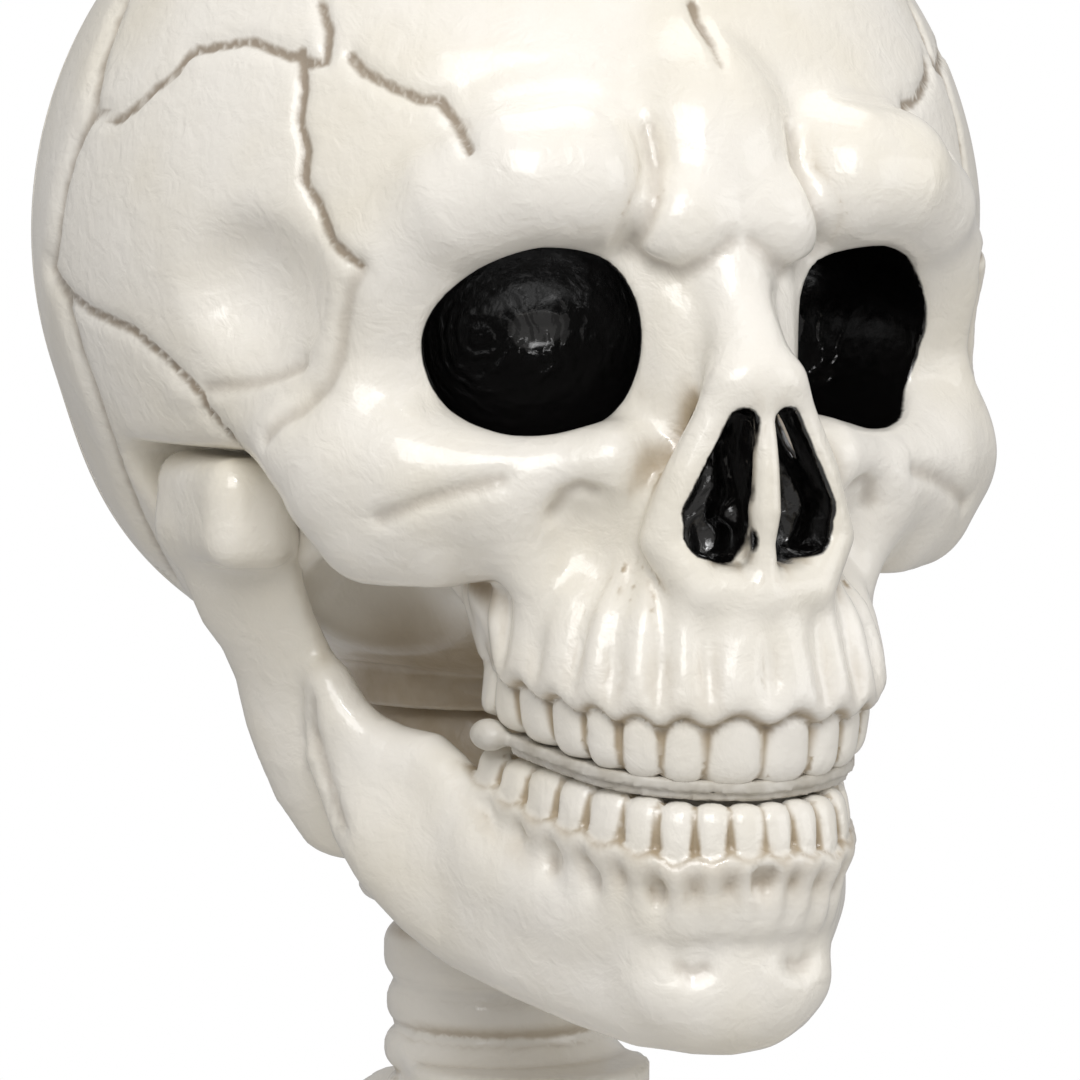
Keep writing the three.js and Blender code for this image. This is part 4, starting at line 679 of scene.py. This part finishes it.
face_edge = [(358, 268), (347, 295), (342, 325), (338, 357), (325, 385), (300, 408), (276, 421), (263, 437)]
temple_ridge = [(203, 388), (228, 386), (250, 382), (276, 374), (300, 364)]
brow_creases = [
    [(648, 128), (656, 165), (655, 200), (644, 224), (628, 250)],
    [(628, 250), (650, 266), (680, 277), (708, 262), (735, 242)],
]
socket_pit = [(556, 512), (566, 495), (580, 489), (592, 493)]
cheek_slit = [(380, 520), (420, 504), (460, 490), (500, 480)]
# In the material the sutures and the moulded seam get dark lines, and the creases get painted shade
groove_groups = {
    "sutures": (suture_lines + [forehead_crack], 1.5, 1.2),
    "creases": ([*brow_creases, cheek_slit, temple_ridge, face_edge, socket_pit], 2.2, 1.5),
    "ridges": ([moulded_seam], 2.6, 2.4),
}
# The jaw's creases and pits get painted shade in the material
jaw_groups = {
    "creases": (
        [
            [(308, 700), (309, 725), (318, 757), (329, 794), (339, 826)],
            [(551, 862), (551, 868)], [(593, 880), (593, 886)], [(657, 893), (657, 899)], [(760, 877), (760, 883)],
            [(680, 968), (692, 974), (704, 970)],
        ],
        2.4,
        1.5,
    ),
}


def photo_rays(pixels):
    """The direction through each photograph pixel, from the camera's axes and its focal length."""
    across, down = np.array(pixels, float).T
    aside = (across - photo_pixels / 2) / camera_focal_pixels
    above = (photo_pixels / 2 - down) / camera_focal_pixels
    rays = -camera_back + aside[:, None] * camera_right + above[:, None] * camera_over
    return rays / np.linalg.norm(rays, axis=1)[:, None]


def cast(forms, pixels, before=150, behind=100, stride=0.8):
    """Where rays through photograph pixels first enter a field, walked in strides and then halved."""
    rays = photo_rays(pixels)
    walk = np.arange(camera_distance - before, camera_distance + behind, stride)
    places = camera_place + rays[:, None] * walk[None, :, None]
    inside = field_at(forms, places.reshape(-1, 3)).reshape(len(rays), -1) < 0
    hit = inside.any(1)
    first = inside.argmax(1)
    near, far = walk[np.maximum(first - 1, 0)], walk[first]
    for _ in range(10):
        middle = (near + far) / 2
        within = field_at(forms, camera_place + rays * middle[:, None]) < 0
        near, far = np.where(within, near, middle), np.where(within, middle, far)
    return (camera_place + rays * far[:, None])[hit]


def denser(pixels, spacing=6):
    """A line's pixels with more between them, evenly spaced along each stretch."""
    dense = []
    for (ax, ay), (bx, by) in zip(pixels, pixels[1:]):
        count = max(1, round(math.hypot(bx - ax, by - ay) / spacing))
        dense += [(ax + (bx - ax) * step / count, ay + (by - ay) * step / count) for step in range(count)]
    return [*dense, pixels[-1]]


def away_from_lines(points, lines, most=8, leap=6):
    """The least distance from mirrored points to lines of places, up to a most, with no line over a leap."""
    mirrored = right_side(points)
    least = np.full(len(points), float(most))
    for line in lines:
        low, high = line.min(0) - most, line.max(0) + most
        near = np.flatnonzero(np.all((mirrored > low) & (mirrored < high), axis=1))
        for start, end in zip(line, line[1:]):
            run = end - start
            if np.abs(run).max() > leap:
                continue
            close = near[np.all(np.abs(mirrored[near] - (start + end) / 2) < most + np.abs(run), axis=1)]
            offset = mirrored[close] - start
            share = np.clip(offset @ run / max(run @ run, 1e-9), 0, 1)
            away = np.linalg.norm(offset - share[:, None] * run, axis=1)
            least[close] = np.minimum(least[close], away)
    return least


# The room behind the teeth, darkened in the material with brown wash and painted shade, and the middle of the brush
# strokes in an eye
mouth_room, room_reach = egg((0, -2, -48), (48, 56, 36)), 40
stroke_middle = (29.5, 0, 20.6)


# Meshes
def put(name, data):
    """A new object in the scene, with its data."""
    thing = bpy.data.objects.new(name, data)
    bpy.context.scene.collection.objects.link(thing)
    return thing


def make_piece(name, points, faces, shades):
    """A smooth mesh object from points in the head's units, with one value per point for each shade."""
    mesh = bpy.data.meshes.new(name)
    mesh.from_pydata((points * unit + head_origin).tolist(), [], faces.tolist())
    for shade, values in shades.items():
        layer = mesh.attributes.new(shade, "FLOAT", "POINT")
        layer.data.foreach_set("value", np.asarray(values, np.float32))
    mesh.polygons.foreach_set("use_smooth", np.ones(len(mesh.polygons), bool))
    mesh.update()
    return put(name, mesh)


def outward_along(slope, least=0.2):
    """The slope divided by its length, which counts as no less than a least, and that length."""
    length = np.maximum(np.linalg.norm(slope, axis=1), least)
    return slope / length[:, None], length


def hollow_shade(forms, points, slope, reach=3.2):
    """How hollow the surface is: how far the field a step outside falls short of that step."""
    outward, length = outward_along(slope)
    shortfall = 1 - field_at(forms, points + outward * reach) / (reach * np.clip(length, 0.6, 1.4))
    return np.clip(shortfall, -1, 1)


def sculpted(name, forms, lines, paint=(), grooves=None, seam_depth=0):
    """A piece from its forms: skinned, settled, then grooved along its lines, with its shades."""
    points, faces = mirrored_skin(forms, *lines)
    points = settled(forms, points)
    values = field_at(forms, points)
    slope = slope_at(forms, points, values)
    shades = {group: np.full(len(points), undrawn) for group in (*groove_groups, "seam")}
    # How hollow each point is, near and broad: the material darkens the hollows with wash and painted shade
    shades["hollow"] = hollow_shade(forms, points, slope)
    shades["broad_hollow"] = hollow_shade(forms, points, slope, 9)
    shades["painted"] = np.clip(field_at(paint, points), -undrawn, undrawn)
    mirrored = right_side(points)
    across, _, up = (mirrored - stroke_middle).T
    shades["strokes"] = np.hypot(across, up)
    # How deep inside the mouth's room each point lies: the material lays painted shade and wash there
    shades["sheltered"] = np.clip(mouth_room.distance(*mirrored.T), -room_reach, room_reach)
    outward, _ = outward_along(slope)
    for group, (paths, width, depth) in (grooves or {}).items():
        away = away_from_lines(points, paths)
        shades[group] = away
        points = points - outward * (depth * np.exp(-(away / width) ** 2))[:, None]
    if seam_depth:
        shades["seam"] = np.abs(points[:, 1] - seam_place)
        points = points - outward * (seam_depth * np.exp(-(shades["seam"] / 1.2) ** 2))[:, None]
    return make_piece(name, points, faces, shades)


def cast_grooves(forms, groups):
    """Each group's lines cast onto a field, with their half width and depth."""
    return {
        group: ([right_side(cast(forms, denser(line))) for line in lines], width, depth)
        for group, (lines, width, depth) in groups.items()
    }


# Shader sums: a socket that adds, multiplies and compares like a number
class Amount:
    """One output in a material, with sums that make the nodes they need."""

    def __init__(self, maker, socket):
        self.maker, self.socket = maker, socket

    def sum(self, operation, *others):
        """The operation done on this and the others."""
        return self.maker.maths(operation, self, *others)

    def __add__(self, other):
        return self.sum("ADD", other)

    def __sub__(self, other):
        return self.sum("SUBTRACT", other)

    def __mul__(self, other):
        return self.sum("MULTIPLY", other)

    def __radd__(self, other):
        return self.maker.maths("ADD", other, self)

    def __rsub__(self, other):
        return self.maker.maths("SUBTRACT", other, self)

    def __rmul__(self, other):
        return self.maker.maths("MULTIPLY", other, self)

    def step(self, low, high):
        """Zero below low and one above high, eased between."""
        inputs = {"Value": self, "From Min": low, "From Max": high}
        return self.maker.out("Result", "ShaderNodeMapRange", {"interpolation_type": "SMOOTHSTEP"}, inputs)


class MaterialMaker:
    """The nodes of a material or a world: made by type, with settings first and then inputs."""

    def __init__(self, owner):
        self.owner = owner
        owner.use_nodes = True
        self.tree = owner.node_tree
        self.tree.nodes.clear()

    def node(self, kind, settings=None, inputs=None):
        """A node of one type, with its settings, and its inputs wired or set."""
        node = self.tree.nodes.new(kind)
        for setting, value in (settings or {}).items():
            setattr(node, setting, value)
        for key, value in (inputs or {}).items():
            if isinstance(value, Amount):
                self.tree.links.new(value.socket, node.inputs[key])
            elif value is not None:
                node.inputs[key].default_value = value
        return node

    def out(self, output, kind, settings=None, inputs=None):
        """One output of a new node."""
        return Amount(self, self.node(kind, settings, inputs).outputs[output])

    def maths(self, operation, *values):
        """A sum's result."""
        return self.out(0, "ShaderNodeMath", {"operation": operation}, dict(enumerate(values)))

    def place(self):
        """Where a point is in its own piece, in metres."""
        return self.out("Object", "ShaderNodeTexCoord")

    def shade(self, name):
        """One of the mesh's own values."""
        return self.out("Fac", "ShaderNodeAttribute", {"attribute_name": name})

    def noise(self, place, scale, detail=2.0, roughness=0.5, distortion=0.0):
        """Fractal noise from zero to one, scale cells to a metre."""
        inputs = {
            "Vector": place, "Scale": scale, "Detail": detail, "Roughness": roughness, "Distortion": distortion,
        }
        return self.out("Fac", "ShaderNodeTexNoise", None, inputs)

    def mix(self, share, first, second):
        """One colour fading into another."""
        return self.out(2, "ShaderNodeMix", {"data_type": "RGBA"}, {0: share, 6: first, 7: second})

    def bump(self, height, distance, strength=1.0, under=None):
        """A normal from a height, over another normal."""
        inputs = {"Height": height, "Distance": distance, "Strength": strength, "Normal": under}
        return self.out("Normal", "ShaderNodeBump", None, inputs)

    def either(self, share, first, second):
        """One shader fading into another."""
        return self.out(0, "ShaderNodeMixShader", None, {0: share, 1: first, 2: second})

    def finish(self, shader, kind="Material"):
        """The output, fed by a shader, and the material or world that it belongs to."""
        self.node(f"ShaderNodeOutput{kind}", None, {0: shader})
        return self.owner

    def surface(self, inputs):
        """The whole surface: a shader with these inputs, and the material's output."""
        return self.finish(self.out(0, "ShaderNodeBsdfPrincipled", None, inputs))


def new_maker(name):
    """A maker for a new material."""
    return MaterialMaker(bpy.data.materials.new(name))


def colour(red, green, blue):
    """A colour given as it looks on a screen, turned to light: ((c + 0.055) / 1.055) ^ 2.4."""
    light = [((value / 255 + 0.055) / 1.055) ** 2.4 for value in (red, green, blue)]
    return (*light, 1)


ivory_colour = colour(241, 237, 229)
warm_ivory_colour = colour(233, 227, 213)
# Brown wash with painted shade, laid into the hollows and the room behind the teeth
wash_and_shade_colour = colour(168, 150, 122)
# Dark lines in the sutures and seams, and painted shade along the creases
groove_line_and_shade_colour = colour(128, 108, 82)
paint_colour = colour(11, 10, 10)


def ivory_material(name, head=False):
    """Glossy moulded ivory; on the head, brown wash and painted shade in its hollows and behind the teeth, dark
    lines and painted shade along its grooves, and black paint.
    """
    maker = new_maker(name)
    place = maker.place()
    cloud = maker.noise(place, 26, 3, 0.55)
    mottle = maker.noise(place, 140, 3, 0.6)
    base = maker.mix(cloud.step(0.35, 0.75), ivory_colour, warm_ivory_colour)
    roughness = 0.30 + 0.14 * mottle
    gloss, paint_roughness = 0.6, 0.14
    peel = maker.noise(place, 620, 2, 0.5, 0.3)
    wrinkle = maker.noise(place, 190, 3, 0.55, 0.8)
    normal = maker.bump(peel * 0.35 + wrinkle, 0.00055, 0.65)
    if head:
        # Painted shade with brown wash: darker where the surface is hollow, near and broad
        hollow = maker.shade("hollow")
        hollow_wash_and_shade = (hollow + 0.30 * mottle - 0.15).step(0.14, 0.8)
        base = maker.mix(hollow_wash_and_shade * 0.9, base, wash_and_shade_colour)
        broad = (maker.shade("broad_hollow") + 0.25 * mottle - 0.12).step(0.2, 1.0)
        base = maker.mix(broad * 0.5, base, wash_and_shade_colour)
        # Painted shade with brown wash inside the mouth's room, behind the teeth
        sheltered = (1 - maker.shade("sheltered").step(-15.0, 3.0)) * (0.55 + 0.5 * mottle)
        base = maker.mix(sheltered, base, wash_and_shade_colour)
        wiggle = 1.1 * maker.noise(place, 420, 2) - 0.55
        # Darker grooves: the sutures, ridges and seam get dark lines, and the creases get painted shade
        for shade, ragged, low, high, strength in (
            ("ridges", 1.0, 0.4, 2.6, 0.62), ("sutures", 1.0, 0.35, 1.6, 0.8),
            ("seam", 0.4, 0.5, 1.5, 0.6), ("creases", 1.0, 0.2, 2.4, 0.3),
        ):
            line = 1 - (maker.shade(shade) + ragged * wiggle).step(low, high)
            base = maker.mix(line * strength, base, groove_line_and_shade_colour)
        cover = 1 - (maker.shade("painted") + 0.35 * wiggle).step(0.3, 0.75)
        base = maker.mix(cover, base, paint_colour)
        roughness = roughness + cover * (paint_roughness - roughness)
        gloss = gloss + (1 - gloss) * cover
        strokes = (maker.shade("strokes") * 2.1 + maker.noise(place, 180, 2) * 14).sum("SINE")
        normal = maker.bump(strokes * cover * maker.noise(place, 90, 2), 0.00032, 0.6, normal)
    return maker.surface({
        "Base Color": base, "Roughness": roughness, "Normal": normal,
        "Coat Weight": gloss, "Coat Roughness": 0.09, "Specular IOR Level": 0.5,
    })


def plate_material():
    """The paler, greyer plastic of the bite plate and of the frame's other pieces that are not steel."""
    maker = new_maker("greyer_plastic")
    place = maker.place()
    mottle = maker.noise(place, 120, 3, 0.6)
    base = maker.mix(mottle.step(0.3, 0.7), colour(214, 210, 202), colour(186, 180, 168))
    normal = maker.bump(maker.noise(place, 500, 2), 0.0003, 0.5)
    return maker.surface({"Base Color": base, "Roughness": 0.34 + 0.15 * mottle, "Normal": normal})


def steel_material():
    """Bright steel with fine scratches and a duller bloom."""
    maker = new_maker("bright_steel_wire")
    place = maker.place()
    stretched = maker.out(0, "ShaderNodeMapping", None, {"Vector": place, "Scale": (1, 1, 9)})
    scratch = maker.noise(stretched, 900, 2)
    bloom = maker.noise(place, 90, 3)
    base = maker.mix(bloom, colour(196, 197, 198), colour(168, 168, 166))
    return maker.surface({
        "Base Color": base, "Metallic": 1.0, "Roughness": 0.24 + 0.2 * bloom,
        "Normal": maker.bump(scratch, 0.0001, 0.4),
    })


head_ivory, bone_ivory = ivory_material("antiqued_and_shaded_ivory", True), ivory_material("plain_ivory")
greyer_plastic, bright_steel = plate_material(), steel_material()


def dress(piece, node, body, material):
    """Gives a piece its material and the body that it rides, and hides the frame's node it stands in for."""
    piece.data.materials.clear()
    piece.data.materials.append(material)
    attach(piece, body)
    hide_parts(node)


# The head
head_grooves = cast_grooves(skull_forms, groove_groups)
head_grooves["sutures"][0][-1][:, 0] = 0
fine_step, wide_step, shell_seam_depth = 1.15, 2.3, 0.8
skull_front = sculpted(
    "skull_front_shell",
    front_forms,
    (
        side_line(96, 76, fine_step, wide_step),
        grid_line(-122, 64, -120, -36, fine_step, wide_step),
        grid_line(-64, 136, -62, 58, fine_step, wide_step),
    ),
    paint_forms,
    head_grooves,
    shell_seam_depth,
)
skull_back = sculpted(
    "skull_back_shell",
    back_forms,
    (side_line(96, 0, wide_step, wide_step), even_line(44, 138, 1.6), even_line(-60, 136, wide_step)),
    grooves=head_grooves,
    seam_depth=shell_seam_depth,
)
jaw = sculpted(
    "lower_jaw",
    jaw_parts,
    (
        side_line(88, 76, fine_step, wide_step),
        grid_line(-118, 24, -116, -30, fine_step, wide_step),
        grid_line(-118, 4, -116, -54, fine_step, wide_step),
    ),
    grooves=cast_grooves(jaw_parts, jaw_groups),
)
dress(skull_front, "skull_front", "skull", head_ivory)
dress(skull_back, "skull_back", "skull", head_ivory)
dress(jaw, "jaw", "jaw", head_ivory)


def bite_ledge():
    """The plate between the rows of teeth: two stacked ledges that follow the arch and rise to the back."""
    def distance(x, y, z):
        outside = along_arch(upper_row.curve, x, y)[1]
        level = z + 60.5 - 7.1 * (np.clip(y + 106, 0, 60) / 52) ** 0.85
        upper = np.maximum(outside + 2.6, np.abs(level - 0.4) - 1.1)
        lower = np.maximum(outside + 3.8, np.abs(level + 1.3) - 1.1)
        skirt = np.maximum(outside + 10, np.abs(level + 4) - 2.6)
        return np.maximum(np.minimum(np.minimum(upper, lower), skirt), y + 61.5)
    return Form(distance, (0, -110, -68), (38, -44, -50), 0.5)


plate_step = 0.9
bite_plate = sculpted(
    "bite_ledge",
    [bite_ledge(), egg((34.6, -58.5, -53.4), (3.4, 5, 3), 1)],
    (side_line(42, 0, plate_step, plate_step), even_line(-114, -40, plate_step), even_line(-70, -48, 0.6)),
)
dress(bite_plate, "bite_plate", "skull", greyer_plastic)


# The neck's rings
def wheel(height, radius, half_height, rounding, blend=2.5):
    """A disc with rounded edges about the neck's axis."""
    def distance(x, y, z):
        side = np.sqrt(x ** 2 + (y - neck_back) ** 2) - radius + rounding
        ends = np.abs(z - height) - half_height + rounding
        return rounded(rounding, side, ends)
    return Form(
        distance,
        (-radius, neck_back - radius, height - half_height),
        (radius, neck_back + radius, height + half_height),
        blend,
    )


neck_forms = [
    wheel(-110, 17.5, 40, 2),
    wheel(-93.5, 28.8, 2.9, 2.6),
    wheel(-107.5, 23.6, 6.2, 4.8),
    wheel(-118, 23, 4.8, 4.2),
    wheel(-127.5, 23.5, 4.4, 4),
    wheel(-139, 23.5, 6.5, 4.5),
    drum((0, 4.6), 24.4, -149, -127.5, 3),
]
neck_step = 1.6
neck_line = side_line(36, 0, neck_step, neck_step)
neck_column = sculpted(
    "neck_rings",
    neck_forms,
    (neck_line, even_line(-26, 56, neck_step), even_line(-156, -52, neck_step)),
)
neck_swivel = sculpted(
    "neck_ball",
    [
        egg((0, neck_back, swivel_height), (swivel_radius,) * 3),
        keep_side(2, -86, -1, 3),
        keep_side(2, -46, 1, 3),
    ],
    (neck_line, even_line(-16, 56, neck_step), even_line(-92, -40, neck_step)),
)
dress(neck_column, "neck_column", "torso", head_ivory)
dress(neck_swivel, "neck_swivel", "neck_turn", head_ivory)


# The bones below the neck, rounded over from the frame's own solids
bone_bodies = {
    "ribcage_back": "torso", "ribcage_front": "torso", "lumbar_spine": "torso", "pelvis": "torso",
}
for side in ("left", "right"):
    for node, body in (
        ("shoulder_yoke", "shoulder"), ("upper_arm", "upper_arm"), ("forearm", "forearm"), ("hand", "hand"),
        ("hip_yoke", "hip"), ("thigh", "thigh"), ("shin", "shin"), ("foot", "foot"),
    ):
        bone_bodies[f"{node}_{side}"] = f"{body}_{side}"
bone_voxel = 0.0021
bone_ease = 0.0003


def rounded_bone(node):
    """A frame solid's copy: joined up, rebuilt in small cells, smoothed, and eased inward along its normals."""
    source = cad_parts[node]
    mesh = source.data.copy()
    mesh.transform(source.matrix_world)
    welded = bmesh.new()
    welded.from_mesh(mesh)
    bmesh.ops.remove_doubles(welded, verts=welded.verts, dist=1e-6)
    welded.to_mesh(mesh)
    welded.free()
    piece = put(f"{node}_bone", mesh)
    remesh = piece.modifiers.new("cells", "REMESH")
    remesh.mode, remesh.voxel_size, remesh.use_smooth_shade = "VOXEL", bone_voxel, True
    smooth = piece.modifiers.new("rounding", "SMOOTH")
    smooth.factor, smooth.iterations = 0.5, 5
    bpy.context.view_layer.update()
    done = bpy.data.meshes.new_from_object(piece.evaluated_get(bpy.context.evaluated_depsgraph_get()))
    piece.modifiers.clear()
    places, normals = np.empty((2, len(done.vertices) * 3), np.float32)
    done.vertices.foreach_get("co", places)
    done.vertices.foreach_get("normal", normals)
    done.vertices.foreach_set("co", places - normals * bone_ease)
    piece.data = done
    return piece


for node, body in bone_bodies.items():
    dress(rounded_bone(node), node, body, bone_ivory)

# The frame's own pieces that stay: the fasteners and the loop
for node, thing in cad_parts.items():
    if thing.data.materials and node not in bone_bodies and not thing.hide_render:
        steel = "bolt" in node or "pin" in node or "loop" in node
        for place in range(len(thing.data.materials)):
            thing.data.materials[place] = bright_steel if steel else greyer_plastic


# Camera, light and floor
camera_data = bpy.data.cameras.new("camera")
camera_data.sensor_width = sensor_width
camera_data.lens = camera_focal_pixels / photo_pixels * sensor_width
camera_data.clip_start, camera_data.clip_end = 0.05, 60
camera = put("camera", camera_data)
turn = Matrix(np.stack((camera_right, camera_over, camera_back), 1).tolist()).to_4x4()
camera.matrix_world = Matrix.Translation(camera_place * unit + head_origin) @ turn
bpy.context.scene.camera = camera
bpy.context.scene.view_settings.view_transform = "Standard"


def softbox(name, aim, way, distance, width, height, watts):
    """A wide lamp at a distance from its aim, on the side given by way, facing the aim."""
    light = bpy.data.lights.new(name, "AREA")
    light.shape, light.size, light.size_y, light.energy = "RECTANGLE", width, height, watts
    lamp = put(name, light)
    way = Vector(way).normalized()
    lamp.location = Vector(aim) + way * distance
    lamp.rotation_euler = way.to_track_quat("Z", "Y").to_euler()


head_middle = (0, head_origin[1] - 0.02, head_origin[2])
softbox("key_softbox", head_middle, (-0.9, -1.5, 1.2), 1.5, 0.9, 0.9, 12)
softbox("fill_softbox", head_middle, (1.4, -1.1, 0.4), 1.7, 1.1, 1.1, 5.8)
softbox("crown_softbox", head_middle, (0.1, 0.2, 1.0), 1.4, 1.0, 1.0, 5)
softbox("sparkle_strip", head_middle, (-0.35, -1.3, 1.0), 1.3, 0.1, 0.26, 1.5)

white, studio_grey = (1, 1, 1, 1), (0.44, 0.43, 0.42, 1)


def studio_world():
    """A grey room that lights the object, and looks white to the camera."""
    maker = MaterialMaker(bpy.data.worlds.new("studio"))
    around = maker.out(0, "ShaderNodeBackground", None, {"Color": studio_grey})
    seen = maker.out(0, "ShaderNodeBackground", None, {"Color": white})
    by_camera = maker.out("Is Camera Ray", "ShaderNodeLightPath")
    return maker.finish(maker.either(by_camera, around, seen), "World")


bpy.context.scene.world = studio_world()


def floor_material():
    """A pale matt floor with a faint cloudiness, which looks white to the camera far away."""
    maker = new_maker("studio_floor")
    place = maker.place()
    base = maker.mix(maker.noise(place, 3, 3), (0.86, 0.86, 0.86, 1), (0.8, 0.8, 0.8, 1))
    matt = maker.out(0, "ShaderNodeBsdfPrincipled", None, {"Base Color": base, "Roughness": 0.8})
    glow = maker.out(0, "ShaderNodeEmission", None, {"Color": white, "Strength": 1.0})
    away = maker.out("Value", "ShaderNodeVectorMath", {"operation": "LENGTH"}, {0: place}).step(1.6, 4.5)
    by_camera = maker.out("Is Camera Ray", "ShaderNodeLightPath")
    return maker.finish(maker.either(away * by_camera, matt, glow))


floor_drop, floor_reach = 0.02, 14
floor_mesh = bpy.data.meshes.new("floor")
floor_mesh.from_pydata(
    [(x * floor_reach, y * floor_reach, 0) for x, y in ((-1, -1), (1, -1), (1, 1), (-1, 1))],
    [],
    [(0, 1, 2, 3)],
)
floor = put("floor", floor_mesh)
floor.location.z = cad_low[2] - floor_drop
floor.data.materials.append(floor_material())
